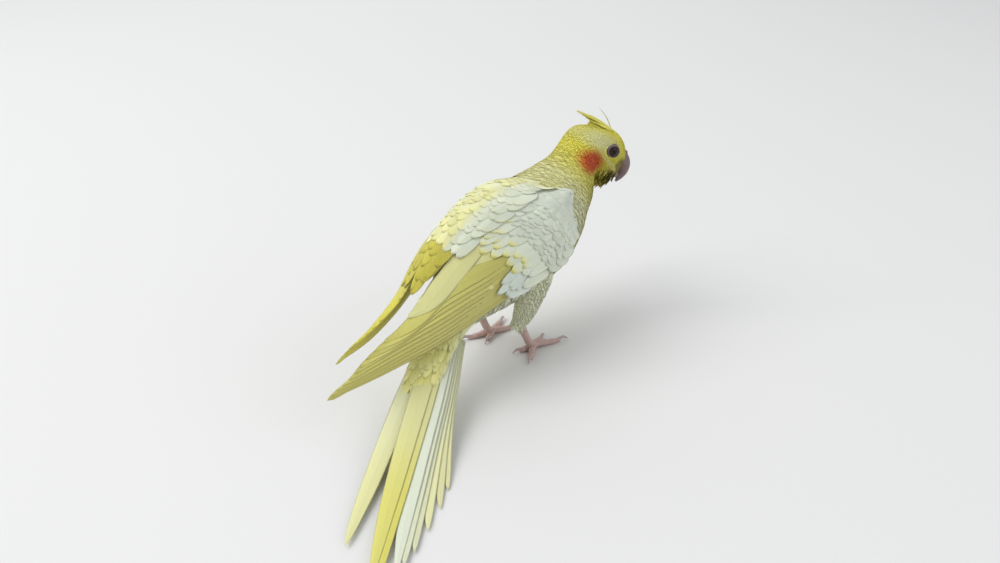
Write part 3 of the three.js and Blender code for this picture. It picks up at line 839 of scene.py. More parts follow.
# %% Wing flight feathers
PRIMARIES, SECONDARIES = 10, 8
PRIMARY_ROOT, SECONDARY_ROOT = 0.36, 0.27  # places along the wing
PRIMARY_HALF, SECONDARY_HALF = 5.6, 6.4  # half widths in mm
PRIMARY_LOW, SECONDARY_LOW = -2.6, -1.2  # lift in mm of the lowest feather
PRIMARY_GAP, PRIMARY_STEP, SECONDARY_STEP = 1.9, 0.26, 0.2  # mm aside, and mm that one lies over the next
# The olive in these marks is painted shade that turns the flight feathers ochre. The far, left wing's deeper
# ochre is partly its own stronger yellow and partly painted shade on its shaded inner face.
PRIMARY_YELLOW = {RIGHT: (0.66, 0.40), LEFT: (0.92, 0.34)}  # yellow and olive
SECONDARY_MARK = {RIGHT: [0.48, 0, 0.06, 0], LEFT: [0.88, 0, 0.28, 0]}
for side, word in SIDES:
    blades, colours, roots = [], [], []
    yellow, olive = PRIMARY_YELLOW[side]
    for k in range(PRIMARIES):
        share = k / (PRIMARIES - 1)  # 0 for the innermost primary, 1 for the outermost
        over = PRIMARIES - 1 - k  # how many primaries lie under this one
        blades.append(wing_blade(
            side, PRIMARY_ROOT, 0.74 + 0.26 * share ** 0.9, PRIMARY_GAP * over * (1 - 0.3 * share),
            PRIMARY_HALF - 0.8 * share, 3.0, PRIMARY_LOW + PRIMARY_STEP * over,
        ))
        # The olive, painted shade, grows towards the outermost primary.
        colours.append([yellow + 0.08 * (1 - share), 0, olive * (0.6 + 0.4 * share), 0])
        roots.append([0.40 + 0.05 * k, 0.42])
    for k in range(SECONDARIES):
        share = k / (SECONDARIES - 1)  # 0 beside the primaries, 1 next to the back
        blades.append(wing_blade(
            side, SECONDARY_ROOT, 0.47 + 0.17 * share, 10 + 26 * share,
            SECONDARY_HALF, 5.0, SECONDARY_LOW + SECONDARY_STEP * k, 0.9,
        ))
        colours.append(SECONDARY_MARK[side])
        roots.append([0.20 + 0.05 * (SECONDARIES - k), 0.34])
    blade_piece("flight_" + word, blades, colours, roots, "yellow_feathers", ["flight_feathers_" + word])

# %% [markdown]
# The coverts that hide the quills are laid in tracts on the wing's own surface: small ones over the bend,
# then median and greater coverts, white primary coverts at the lower edge, and long scapulars that spread
# from the shoulder over the wing's upper edge and close the gap to the back. They are laid tract by tract
# from a table, because on the bird each tract has its own length and colour.

# %% Wing coverts
SMALL_COVERT, SHORT_COVERT = 10, 14  # lengths in mm below which a covert is rooted less deep, and is plainer
COVERT_TRACTS = [
    # u from, u to, v from, v to, row gap, root gap, length, half width, rise, yellow, grey, yellow tip
    ("lesser", 0.00, 0.17, 0.03, 1.03, 2.4, 3.0, 7.5, 2.9, 0.00, 0.10, 0.60, 0.0),
    ("median", 0.15, 0.235, 0.10, 1.02, 3.2, 4.0, 13.0, 3.9, 0.10, 0.08, 0.55, 0.0),
    ("greater", 0.245, 0.30, 0.10, 0.98, 6.0, 5.0, 22.5, 4.8, 0.20, 0.10, 0.50, 0.85),
    ("primary", 0.33, 0.37, 0.74, 1.02, 5.0, 3.4, 21.0, 3.8, 0.05, 0.04, 0.80, 0.0),
    ("scapular", 0.02, 0.20, 0.09, 0.24, 4.0, 4.0, 15.0, 4.4, 0.35, 0.12, 0.55, 0.0),
    ("scapular_long", 0.19, 0.27, 0.09, 0.26, 6.0, 4.6, 22.0, 4.8, 0.45, 0.12, 0.50, 0.5),
]


def wing_unwrap(u, v):
    """The wing's surface rolled flat."""
    return np.stack([0.06 + 0.88 * np.clip((v + 0.3) / 1.4, 0, 1), 0.03 + 0.94 * np.clip(u + 0.05, 0, 1)], -1)


for side, word in SIDES:
    surface = wing_surface(side)
    made, tints = [], []
    for _, u0, u1, v0, v1, row_gap, gap, long, half, rise, yellow, grey, tip in COVERT_TRACTS:
        roots = rows_on(surface, u0, u1, row_gap, gap, v0, v1)
        n = len(roots)
        drop = front_drop(roots[:, :1])
        laid = lay(
            surface, *roots.T, long * rng.normal(1, 0.07, n), half * rng.normal(1, 0.05, n),
            rng.normal(0, 0.05, n), COVERT if long < SHORT_COVERT else LONG_COVERT,
            low=(-0.9 if long < SMALL_COVERT else -1.3) - drop, high=rise - 0.85 * drop,
            raise_tip=0.09, camber=0.14,
        )
        made.append(laid)
        ripe = smooth(laid["vane"][:, 0], 0.72, 1.0) * (1 - smooth(laid["b"], 0.72, 0.84)) * (tip > 0)
        tints.append(np.stack([yellow + (tip - yellow) * ripe, 0 * ripe, 0 * ripe, grey * (1 - ripe)], -1))
    coverts = feather_piece("coverts_" + word, merged(made), wing_unwrap, np.concatenate(tints))
    stand_in(coverts, "pale_feathers", "wing_" + word)

# %% [markdown]
# The back between the wings is closed by the mantle and the innermost long feathers. They lie on a saddle
# that spans the two upper edges, rises a little in the middle and runs on over each wing. The last row of
# them is long and covers the roots of the flight feathers. The body's feathers alone could bridge the
# gap, but they would dive under the wings and leave a dark slit.

# %% Mantle and tertials
SADDLE_ARCH = 2.5
OVER_EDGE = 0.2  # how fast the saddle runs down a wing beyond its edge


def saddle(u, w, lift):
    """Between the wings at w from -1, the right wing's upper edge, to 1, the left one's: the straight line
    between the edges plus an arch of 1 less w squared. Beyond either edge it follows that wing. It lies a
    little higher over the edges and sinks at the front."""
    zero = np.zeros_like(u)
    sunk = (1 - smooth(u, 0.02, 0.15)) * (2 + 2.5 * smooth(np.abs(w), 0.5, 1.1))
    lift = lift + 0.8 * smooth(np.abs(w), 0.7, 1.1) - sunk
    edges, outs, beyond = [], [], []
    for side, _ in SIDES:
        surface = wing_surface(side)
        edge = surface(u, zero, zero)
        edges.append(edge)
        outs.append(surface(u, zero, zero + 1) - edge)
        beyond.append(surface(u, OVER_EDGE * np.clip(side * w - 1, 0, None), lift))
    w = w[:, None]
    inside = np.clip(w, -1, 1)
    point = (edges[0] + edges[1]) / 2 + (edges[1] - edges[0]) / 2 * inside
    point += np.array([0, 0, SADDLE_ARCH]) * (1 - inside ** 2)
    near = np.abs(inside)
    out = np.array([0, 0, 1.0]) * (1 - near) + np.where(inside < 0, outs[0], outs[1]) * near
    point += unit(out) * lift[:, None]
    return np.where(w < -1, beyond[0], np.where(w > 1, beyond[1], point))


SADDLE_ROWS = [
    # u from, u to, w from, w to, row gap, root gap, length, half width, rise, yellow, olive, grey, whitens
    (0.01, 0.12, -1.4, 1.1, 3.2, 3.4, 12.0, 3.6, 0.25, 0.42, 0.04, 0.20, True),
    (0.12, 0.25, -1.7, 1.7, 4.5, 4.0, 18.0, 4.4, 0.35, 0.40, 0.04, 0.25, True),
    (0.25, 0.34, -1.6, 1.6, 7.0, 4.4, 23.0, 4.8, 0.40, 0.42, 0.04, 0.15, True),
    (0.33, 0.44, -0.7, 1.9, 6.0, 4.0, 29.0, 4.8, 0.25, 0.90, 0.50, 0.00, False),
]
WHITE_GREY = 0.55  # the cool grey-white that saddle feathers take on over the wings


def saddle_unwrap(u, w):
    """The saddle rolled flat."""
    return np.stack([0.1 + 0.8 * np.clip((w + 2) / 4, 0, 1), 0.2 + 1.2 * np.clip(u + 0.06, 0, 0.6)], -1)


made, tints = [], []
for u0, u1, w0, w1, row_gap, gap, long, half, rise, yellow, olive, grey, whitens in SADDLE_ROWS:
    roots = rows_on(saddle, u0, u1, row_gap, gap, w0, w1)
    n = len(roots)
    laid = lay(saddle, *roots.T, long * rng.normal(1, 0.07, n), half * rng.normal(1, 0.05, n),
               rng.normal(0, 0.04, n), LONG_COVERT, low=-1.2, high=rise, raise_tip=0.06, camber=0.2)
    made.append(laid)
    ripe = smooth(laid["vane"][:, 0], 0.5, 1.0)
    over_wing = smooth(-laid["b"], 0.35, 0.85) + smooth(laid["b"], 0.95, 1.35)
    white = over_wing * smooth(laid["a"], 0.04, 0.14) * whitens
    tints.append(np.stack([
        (yellow + 0.12 * ripe) * (1 - 0.75 * white), 0 * ripe,
        np.full(len(ripe), olive), grey * (1 - ripe) + (WHITE_GREY - grey) * white,
    ], -1))
stand_in(feather_piece("coverts_back", merged(made), saddle_unwrap, np.concatenate(tints)), "pale_feathers")

# %% [markdown]
# The tail has twelve feathers. Each runs from the tail's root to its own tip, comes down to the floor
# over the first two thirds of its length, and lies on its neighbours in the order of a closed fan, the
# middle pair on top. The tail could be one flat fan, but its feathers differ in length and colour, and
# their edges show.

# %% Tail feathers
TAIL_ROOT = np.array([-36.0, -3.0, 25.0])
TAIL_YAW, TAIL_BOW = 29.0, 3.5  # degrees to the bird's right, and mm of bow to the side
TAIL_LENGTH, FLOOR_FROM = 144.0, 0.68  # mm, and the share of it where the tail meets the floor
TAIL_RIPE = 0.55  # share of its yellow that a tail feather has at the quill
TAIL_BLADES = [
    # aside of the root, tip x, tip y, level, half width, yellow, olive, grey
    (7.5, -140.0, -48.0, 0.0, 4.6, 0.30, 0.06, 0.10),
    (6.8, -150.0, -52.5, 1.3, 5.0, 0.34, 0.05, 0.05),
    (5.4, -157.9, -56.8, 3.0, 5.3, 0.42, 0.05, 0.00),
    (1.8, -163.0, -75.5, 2.0, 4.6, 0.62, 0.05, 0.00),
    (2.2, -168.0, -79.5, 5.0, 4.9, 0.78, 0.07, 0.00),
    (-0.8, -167.0, -82.0, 4.4, 4.7, 0.85, 0.10, 0.00),
    (-3.4, -158.0, -83.0, 3.6, 4.9, 0.10, 0.00, 0.45),
    (-4.8, -153.5, -82.8, 2.9, 4.8, 0.20, 0.00, 0.30),
    (-5.8, -144.5, -80.0, 2.1, 4.6, 0.28, 0.00, 0.20),
    (-6.6, -131.0, -75.0, 1.4, 4.4, 0.38, 0.03, 0.05),
    (-7.3, -116.5, -69.0, 0.7, 4.2, 0.38, 0.03, 0.05),
    (-8.0, -104.5, -63.0, 0.0, 3.9, 0.40, 0.06, 0.05),
]
tail_across = axes_of(np.float64(TAIL_YAW), np.float64(0))[1]


def tail_blade(aside, tip_x, tip_y, level, half):
    """One tail feather: a straight line in plan, bowed sideways, whose height falls as the 1.6th power of
    what is left before the floor, and which lies level steps above it."""
    t = np.linspace(0, 1, BLADE_ROWS)
    root = TAIL_ROOT + tail_across * aside
    path = np.empty((BLADE_ROWS, 3))
    path[:, 0] = root[0] + (tip_x - root[0]) * t
    path[:, 1] = root[1] + (tip_y - root[1]) * t
    reach = np.linalg.norm(path[:, :2] - root[:2], axis=1) / TAIL_LENGTH
    path[:, 2] = TAIL_ROOT[2] * np.clip(1 - reach / FLOOR_FROM, 0, 1) ** 1.6 + 0.35
    path[:, 2] += level * (0.92 - 0.42 * smooth(reach, 0.55, 1))
    path += tail_across * (TAIL_BOW * np.sin(np.pi * t))[:, None]
    across = np.broadcast_to(tail_across, path.shape)
    out = unit(np.cross(across, np.gradient(path, axis=0)))
    out *= np.sign(out[:, 2:3])
    return long_blade(path, across, out, blade_width(t, half, 2.3, 0.75), TAIL_THICK, 0.45)


tail_blades = [tail_blade(*row[:5]) for row in TAIL_BLADES]
tail_colours = [[yellow, 0, olive, grey] for *_, yellow, olive, grey in TAIL_BLADES]
TAIL_NODES = ["tail_left_outer", "tail_left_inner", "tail_left_middle"]
TAIL_NODES += [name.replace("left", "right") for name in TAIL_NODES]
tail_roots = [[(0.5 + 0.04 * row[0]) % 1, 0.975] for row in TAIL_BLADES]
blade_piece("tail_feathers", tail_blades, tail_colours, tail_roots, "pale_feathers", TAIL_NODES, TAIL_RIPE)

# %% [markdown]
# Long tail coverts lie over the quills. They are rooted on the rump and follow the body's surface past
# its end. Those on top are tinted ochre yellow. The body feathers could end at the rump, but then the
# quills would show like the sticks of a fan.

# %% Tail coverts
roots = rows_on(body, 11.3, 13.8, 4.5, 3.2, 0, 2 * np.pi)
n = len(roots)
laid = lay(body, *roots.T, rng.normal(24, 3, n), np.full(n, 3.0), rng.normal(0, 0.08, n),
           LONG_COVERT, low=-1.2, high=0.3, raise_tip=0.2)
top = smooth(np.cos(laid["b"]), -0.3, 0.7)
ripe = smooth(laid["vane"][:, 0], 0.3, 1.0)
ochre = np.stack([0.3 + 0.45 * top * (1 - 0.4 * ripe), 0 * top, 0.3 * top * (1 - ripe), 0.05 * ripe], -1)
stand_in(feather_piece("tail_coverts", laid, body_unwrap, ochre), "pale_feathers")

# %% [markdown]
# The crest is a fan of narrow plumes rooted from the forehead to the crown. Each starts at its own angle
# and bends steadily back, so that together they make a wedge that sweeps to one long tip. A fine curl
# stands up in front of them. It could be one solid horn, but the loose plumes along its edge are what
# makes it a crest.

# %% Crest
CREST_ROWS, CREST_PLUMES = 24, 36
CROWN_AHEAD, CROWN_ABOVE = [-13, -5.5, 3, 9.8, 14], [9.0, 11.6, 11.8, 8.0, 2.0]  # the line plumes grow from


def plume(root_ahead, aside, length, start, bend, half, tip_aside=0.0):
    """A plume in the head's middle plane: its heading starts at start degrees above straight back and falls
    by bend degrees along its length."""
    t = np.linspace(0, 1, CREST_ROWS)
    heading = np.radians(start - bend * t[:-1])
    step = length / (CREST_ROWS - 1)
    back = np.concatenate([[0], np.cumsum(np.cos(heading))]) * step
    rise = np.concatenate([[0], np.cumsum(np.sin(heading))]) * step
    root_above = np.interp(root_ahead, CROWN_AHEAD, CROWN_ABOVE)
    path = head_point(root_ahead - back, aside + tip_aside * t ** 1.5, root_above + rise)
    across = np.broadcast_to(HEAD_AXES[1], path.shape)
    out = unit(np.cross(across, np.gradient(path, axis=0)))
    out *= np.sign((out @ HEAD_AXES[2]).sum())
    width = half * (0.5 + 0.5 * smooth(t, 0, 0.35)) * np.clip(1 - t ** 2.2, 0, 1) ** 0.8 + 0.06
    return long_blade(path, across, out, width, PLUME_THICK, 0.8 * half)


plumes, crest_colours, crest_roots = [], [], []
for q in np.linspace(0, 1, CREST_PLUMES):  # 0 at the forehead, 1 at the crown
    longest = np.interp(q, [0, 0.25, 0.42, 0.6, 1], [10, 21, 29.5, 15, 9]) * rng.normal(1, 0.03)
    start = np.interp(q, [0, 0.42, 1], [39, 20, 0]) + rng.normal(0, 0.6)
    bend = np.interp(q, [0, 0.42, 1], [26, 21, 8])
    aside = rng.normal(0, 1.3)
    plumes.append(plume(10.5 - 15.5 * q, aside, longest, start, bend, 2.0, -0.7 * aside))
    # The slight olive in the plumes' marks is painted shade.
    crest_colours.append([0.92 - 0.2 * (longest > 27), 0, 0.04, 0])
    crest_roots.append([0.04 + 0.01 * aside, 0.08 + 0.16 * q])
plumes.append(plume(3, 0.8, 16, 55, 40, 0.5))
crest_colours.append([0.45, 0, 0.1, 0.5])
crest_roots.append([0.05, 0.14])
crest_nodes = ["crest_front", "crest_middle", "crest_curl"]
blade_piece("crest", plumes, crest_colours, crest_roots, "yellow_feathers", crest_nodes)

# %% [markdown]
# An eye is a glossy ball with a slight bulge over the iris. The lids are a low ring of beaded skin that
# meets the ball and slopes back under the feathers. Both are turned about the line that points out of the
# side of the head. A flat dark disc would look dead from the side, while a ball catches a small highlight
# from wherever it is seen.


# %% Eyes and lids
EYE_ROWS, EYE_COLUMNS = 48, 64
LID_RADIUS = np.array([3.02, 3.08, 3.2, 3.34, 3.5, 3.7, 3.95, 4.3, 4.3, 4.0, 3.4, 3.1])
LID_OUT = np.array([3.10, 3.34, 3.42, 3.42, 3.30, 3.0, 2.5, 1.7, 1.0, 1.0, 1.6, 2.4])
LID_BEADED = np.array([0, 0.2, 0.6, 1, 1, 0.8, 0.4, 0, 0, 0, 0, 0])  # share of a bead's height
LID_COLUMNS, LID_BEADS, BEAD_HEIGHT = 240, 30, 0.10


def turned_about_eye(side, radius, angle, out):
    """Points round the eye's axis: radius times cos and sin of the angle in the plane of the cheek, and out
    millimetres outwards from the middle of the eyeball."""
    ahead = EYE_PLACE[0] + radius * np.cos(angle)
    above = EYE_PLACE[2] + radius * np.sin(angle)
    return head_point(ahead, side * (EYE_PLACE[1] + out), above)


def eye_shape(side):
    """A ball whose front swells by a third of a millimetre, with each point's angle from its front."""
    polar = np.linspace(0.02, np.pi - 0.02, EYE_ROWS)[:, None]
    reach = EYE_RADIUS + 0.3 * (1 - smooth(polar, 0.1, 0.7))
    turn = full_turn(EYE_COLUMNS)[None, :]
    points, faces = tube(turned_about_eye(side, reach * np.sin(polar), turn, reach * np.cos(polar)))
    return points, faces, np.concatenate([np.repeat(polar.ravel(), EYE_COLUMNS), [0, np.pi]])


def lid_shape(side):
    """A closed ring: a round inner lip that touches the ball, a beaded crest and an outer slope."""
    turn = full_turn(LID_COLUMNS)[:, None]
    bead = BEAD_HEIGHT * np.abs(np.sin(turn * LID_BEADS / 2)) * LID_BEADED
    stretch = 1 + 0.07 * np.cos(2 * turn)
    return loop(turned_about_eye(side, LID_RADIUS * stretch, turn, LID_OUT + bead))


for side, word in SIDES:
    points, faces, polar = eye_shape(side)
    stand_in(fill("eyeball_" + word, points, faces, marks={"polar": polar}), "eye", "eye_" + word)
    stand_in(fill("eyelid_" + word, *lid_shape(side)), "bill")

# %% [markdown]
# The bill is a horn of round sections that turn as they go down, narrowed towards the ridge. A soft pad,
# the cere, sits over its base and holds the nostrils. It could be a bent cone, but rounds carried along a
# line can also be narrowed to the sharp ridge of a parrot's bill.

# %% Bill and cere
UPPER_BILL = np.array([
    [13.8, -1.4, 4.7, 4.4, 0], [16.6, -2.6, 4.4, 4.4, 25], [18.8, -5.4, 3.7, 4.0, 60],
    [19.4, -8.8, 2.8, 3.2, 86], [18.6, -12.2, 1.7, 2.1, 104], [17.0, -15.4, 0.5, 0.6, 116],
])
LOWER_BILL = np.array([[12.0, -10.0, 3.9, 2.4, 5], [14.2, -11.2, 3.4, 2.2, 10], [15.6, -12.2, 2.2, 1.2, 20]])
BILL_COLUMNS = 64
CERE_AT, CERE_REACH = (14.6, 0, 1.2), (2.6, 4.6, 2.4)
NOSTRIL_AT, NOSTRIL_FACING = np.array([16.0, 2.5, 2.4]), np.array([0.62, 0.55, 0.55])
NOSTRIL_RADIUS, RIM_RADIUS, PIT_RADIUS = 0.62, 0.22, 0.5


def horn(table, rows, keel):
    """Round sections carried along the table's line: wide times sin to the left and high times cos along
    the tilted upward direction, with the width drawn in by keel near the ridge."""
    ahead, above, wide, high, tilt = through(table, np.linspace(0, len(table) - 1, rows)).T[:, :, None]
    turn = full_turn(BILL_COLUMNS)[None, :]
    high = high * np.cos(turn)
    narrow = 1 - keel * np.clip(np.cos(turn), 0, 1) ** 3
    ahead = ahead + high * np.sin(np.radians(tilt))
    above = above + high * np.cos(np.radians(tilt))
    return tube(head_point(ahead, wide * np.sin(turn) * narrow, above))


def round_shape(middle, reach, rows=32, columns=48):
    """A ball stretched by reach ahead, left and above its middle, in the head's directions."""
    polar = np.linspace(0.03, np.pi - 0.03, rows)[:, None]
    turn = full_turn(columns)[None, :]
    return tube(head_point(
        middle[0] + reach[0] * np.sin(polar) * np.cos(turn),
        middle[1] + reach[1] * np.cos(polar),
        middle[2] + reach[2] * np.sin(polar) * np.sin(turn),
    ))


def ring_shape(middle, facing, big, small):
    """A small torus round a point, facing one direction."""
    helper = unit(np.cross(facing, HEAD_AXES[2]))
    other = np.cross(facing, helper)
    turn, roll = full_turn(28)[:, None, None], full_turn(12)[None, :, None]
    radial = helper * np.cos(turn) + other * np.sin(turn)
    return loop(middle + radial * (big + small * np.cos(roll)) + facing * small * np.sin(roll))


stand_in(fill("upper_bill", *horn(UPPER_BILL, 60, 0.28)), "bill", "bill_upper")
stand_in(fill("lower_bill", *horn(LOWER_BILL, 28, 0.0)), "bill", "bill_lower")
cere_parts, pit_parts = [round_shape(CERE_AT, CERE_REACH)], []
for side, _ in SIDES:
    place = NOSTRIL_AT * [1, side, 1]
    facing = unit((NOSTRIL_FACING * [1, side, 1]) @ HEAD_AXES)
    cere_parts.append(ring_shape(head_point(*place), facing, NOSTRIL_RADIUS, RIM_RADIUS))
    pit_parts.append(round_shape(place, [PIT_RADIUS] * 3, 12, 16))
stand_in(fill("cere", *joined(cere_parts)), "bill")
stand_in(fill("nostrils", *joined(pit_parts)), "bill")

# %% [markdown]
# A cockatiel's foot has two toes forward and two back. The shank and toes are tubes with a row of raised
# plates on top and joints that swell a little, cut flat where they press on the floor. Claws are smooth
# curved cones. The plates could be left to the colour, but their low ridges also have to catch the light.

# %% Feet and claws
FOOT_AT = np.array([24.0, 14.0])
SHANK = [[11.0, 13.5, 22.5], [15, 13.8, 14], [20, 14, 5.5], [24, 14, 2.2]]  # from the ankle down to the foot
SHANK_RADIUS, TOE_RADIUS, TOE_HEIGHT, CLAW_RADIUS = 2.5, 1.75, 1.15, 1.0
TOES = [
    # name, heading in degrees, length, claw's length
    ("inner", -16, 12.5, 5),
    ("outer", 20, 17, 5.5),
    ("back_outer", 152, 14, 5),
    ("back_inner", -158, 8.5, 4.5),
]


def limb(places, radius, rows, sides, plates):
    """A tube through places whose radius is a function of the place along it, with shallow raised plates."""
    places = np.array(places, dtype=float)
    t = np.linspace(0, 1, rows)
    middle = through(places, t * (len(places) - 1))
    along = unit(np.gradient(middle, axis=0))
    aside = np.stack([-along[:, 1], along[:, 0], np.zeros(rows)], -1)
    aside[np.linalg.norm(aside, axis=1) < 0.2] = [0, 1, 0]
    aside = unit(aside)
    over = np.cross(along, aside)
    turn = full_turn(sides)[None, :]
    front = 0.5 + 0.5 * np.abs(np.sin(turn))
    plate = 1 + 0.07 * front * (np.abs(np.sin(np.pi * plates * t))[:, None] ** 0.6 - 0.5) if plates else 1
    reach = radius(t)[:, None] * plate
    rings = middle[:, None, :] + aside[:, None, :] * (reach * np.cos(turn))[..., None]
    rings += over[:, None, :] * (reach * np.sin(turn))[..., None]
    rings[..., 2] = np.maximum(rings[..., 2], 0.0)
    return tube(rings)


def shank_radius(t):
    """The shank is thinnest half way down."""
    return SHANK_RADIUS - 0.55 * np.sin(np.pi * t)


def toe_radius(t):
    """A toe narrows to its tip, swells three times for its joints and closes round at the end."""
    joints = 1 + 0.07 * np.cos(2 * np.pi * 3 * t)
    return TOE_RADIUS * (1.05 - 0.25 * t) * joints * np.clip(1 - t ** 14, 0.3, 1) ** 0.5


def claw_radius(t):
    """A claw narrows to a point."""
    return CLAW_RADIUS - 0.85 * t ** 1.2


def toe_line(side, heading, steps):
    """Places at distances along a toe's heading from the middle of the foot, each with its height."""
    turn = np.radians(heading)
    x, y = FOOT_AT
    return [[x + np.cos(turn) * along, side * (y + np.sin(turn) * along), height] for along, height in steps]


for side, word in SIDES:
    foot_parts = [limb(np.array(SHANK) * [1, side, 1], shank_radius, 90, 28, 13)]
    for toe, heading, long, claw_long in TOES:
        line = toe_line(side, heading, [
            (-1.0, 2.6), (long * 0.35, TOE_HEIGHT + 1), (long * 0.7, TOE_HEIGHT + 0.1), (long, TOE_HEIGHT),
        ])
        foot_parts.append(limb(line, toe_radius, int(long * 5), 24, int(long / 1.5)))
        line = toe_line(side, heading, [
            (long - 1.4, TOE_HEIGHT + 0.4), (long + claw_long * 0.35, TOE_HEIGHT + 1.1),
            (long + claw_long * 0.75, TOE_HEIGHT + 0.3), (long + claw_long, 0.4),
        ])
        claw = fill(f"claw_horn_{toe}_{word}", *limb(line, claw_radius, 30, 18, 0))
        stand_in(claw, "claw", f"claw_{toe}_{word}")
    stand_in(fill("scaled_foot_" + word, *joined(foot_parts)), "foot_skin", "foot_" + word)

# %% [markdown]
# Looks are shared by node groups that only work out colours, masks and normals. Every material could hold
# its own copy of those nodes, but a change to a shared group reaches all of them at once. These helpers add
# one node each and link or set its inputs.

# %% Node helpers


def new_group(name, inputs, outputs):
    """An empty node group with named sockets, given as (name, kind, value)."""
    group = bpy.data.node_groups.new(name, "ShaderNodeTree")
    for socket_name, kind, value in inputs:
        socket = group.interface.new_socket(socket_name, in_out="INPUT", socket_type="NodeSocket" + kind)
        if value is not None:
            socket.default_value = value
    for socket_name, kind in outputs:
        group.interface.new_socket(socket_name, in_out="OUTPUT", socket_type="NodeSocket" + kind)
    return group, group.nodes.new("NodeGroupInput"), group.nodes.new("NodeGroupOutput")


def put(tree, socket, value):
    """Links a socket to another socket, or sets it to a constant."""
    if isinstance(value, bpy.types.NodeSocket):
        tree.links.new(value, socket)
    else:
        socket.default_value = value


def math(tree, operation, *values, clamp=False):
    """The outcome of one step of arithmetic on sockets or numbers."""
    node = tree.nodes.new("ShaderNodeMath")
    node.operation, node.use_clamp = operation, clamp
    for socket, value in zip(node.inputs, values):
        put(tree, socket, value)
    return node.outputs[0]


def mix(tree, factor, a, b, blend="MIX"):
    """A colour between a and b."""
    node = tree.nodes.new("ShaderNodeMix")
    node.data_type, node.blend_type = "RGBA", blend
    put(tree, node.inputs["Factor"], factor)
    put(tree, node.inputs[6], a)
    put(tree, node.inputs[7], b)
    return node.outputs[2]


def noise(tree, vector, scale, detail=2.0):
    """Soft noise from 0 to 1 with scale waves to the metre."""
    node = tree.nodes.new("ShaderNodeTexNoise")
    put(tree, node.inputs["Vector"], vector)
    node.inputs["Scale"].default_value = scale
    node.inputs["Detail"].default_value = detail
    return node.outputs["Fac"]

# %% [markdown]
# A pale bird's colour is cream, with yellow pigment over it that thins out down the body. The first group
# mixes it from the mark: cream, then yellow, a cool grey-white, olive and, over all, the orange cheek.
# Round the bill, down the front of the neck, in the crest and on the flight feathers the olive is painted
# shade. One plain colour for each piece would be simpler, but it would end in a hard line where two pieces
# meet.

# %% Plumage colour group
CREAM = (0.80, 0.81, 0.58, 1)
BRIGHT_YELLOW = (0.82, 0.74, 0.07, 1)
# Round the bill, down the front of the neck, in the crest and on the flight feathers this olive is painted
# shade.
OLIVE = (0.28, 0.22, 0.035, 1)
COOL_WHITE = (0.68, 0.75, 0.67, 1)
CHEEK_ORANGE = (0.62, 0.078, 0.006, 1)
plumage_colour, given, result = new_group(
    "Plumage colour",
    [("Mark", "Color", None), ("Grey", "Float", 0.0), ("Tone", "Float", 0.5)],
    [("Color", "Color")],
)
split = plumage_colour.nodes.new("ShaderNodeSeparateColor")
plumage_colour.links.new(given.outputs["Mark"], split.inputs[0])
red, green, blue = split.outputs[:3]
tint = mix(plumage_colour, red, CREAM, BRIGHT_YELLOW)
tint = mix(plumage_colour, given.outputs["Grey"], tint, COOL_WHITE)
tint = mix(plumage_colour, blue, tint, OLIVE)
tint = mix(plumage_colour, green, tint, CHEEK_ORANGE)
level = math(plumage_colour, "MULTIPLY_ADD", given.outputs["Tone"], 0.16, 0.90)
bright = plumage_colour.nodes.new("ShaderNodeHueSaturation")
put(plumage_colour, bright.inputs["Value"], level)
put(plumage_colour, bright.inputs["Color"], tint)
plumage_colour.links.new(bright.outputs[0], result.inputs["Color"])

# %% [markdown]
# The second group draws a feather's webs from its own map: fine barbs that slant from the shaft to the
# edge, a raised shaft, paler edges and a little shade towards the quill. It gives a shade and a normal.
# The barbs could be modelled, but each is only a small part of a millimetre wide, so a wave in the normal
# is enough.

# %% Vane group
vane_group, given, result = new_group(
    "Vane",
    [("Vane", "Vector", None), ("Barbs", "Float", 60.0), ("Depth", "Float", 0.4)],
    [("Shade", "Float"), ("Normal", "Vector")],
)
split = vane_group.nodes.new("ShaderNodeSeparateXYZ")
vane_group.links.new(given.outputs["Vane"], split.inputs[0])
off_shaft = math(vane_group, "ABSOLUTE", math(vane_group, "SUBTRACT", split.outputs[1], 0.5))
slant = math(vane_group, "MULTIPLY_ADD", off_shaft, -0.35, split.outputs[0])
wave = math(vane_group, "SINE", math(vane_group, "MULTIPLY", slant, given.outputs["Barbs"]))
ridge = math(vane_group, "MULTIPLY_ADD", wave, 0.5, 0.5)
shaft = math(vane_group, "SUBTRACT", 1.0, math(vane_group, "MULTIPLY", off_shaft, 26.0), clamp=True)
edge = math(vane_group, "POWER", math(vane_group, "MULTIPLY", off_shaft, 2.0), 4.0)
quill = math(vane_group, "SUBTRACT", 1.0, math(vane_group, "MULTIPLY", split.outputs[0], 2.2), clamp=True)
shade = math(vane_group, "MULTIPLY_ADD", ridge, 0.06, 0.94)
shade = math(vane_group, "MULTIPLY_ADD", quill, -0.12, shade)
shade = math(vane_group, "MULTIPLY_ADD", edge, 0.06, shade)
bump = vane_group.nodes.new("ShaderNodeBump")
bump.inputs["Distance"].default_value = 0.0002
put(vane_group, bump.inputs["Strength"], given.outputs["Depth"])
put(vane_group, bump.inputs["Height"], math(vane_group, "ADD", ridge, shaft))
vane_group.links.new(shade, result.inputs["Shade"])
vane_group.links.new(bump.outputs[0], result.inputs["Normal"])

# %% [markdown]
# The third group makes small rounded scales for lids, cere and feet. They could be modelled too, but they
# would be many thousands, and cells of random shape look like the real ones.

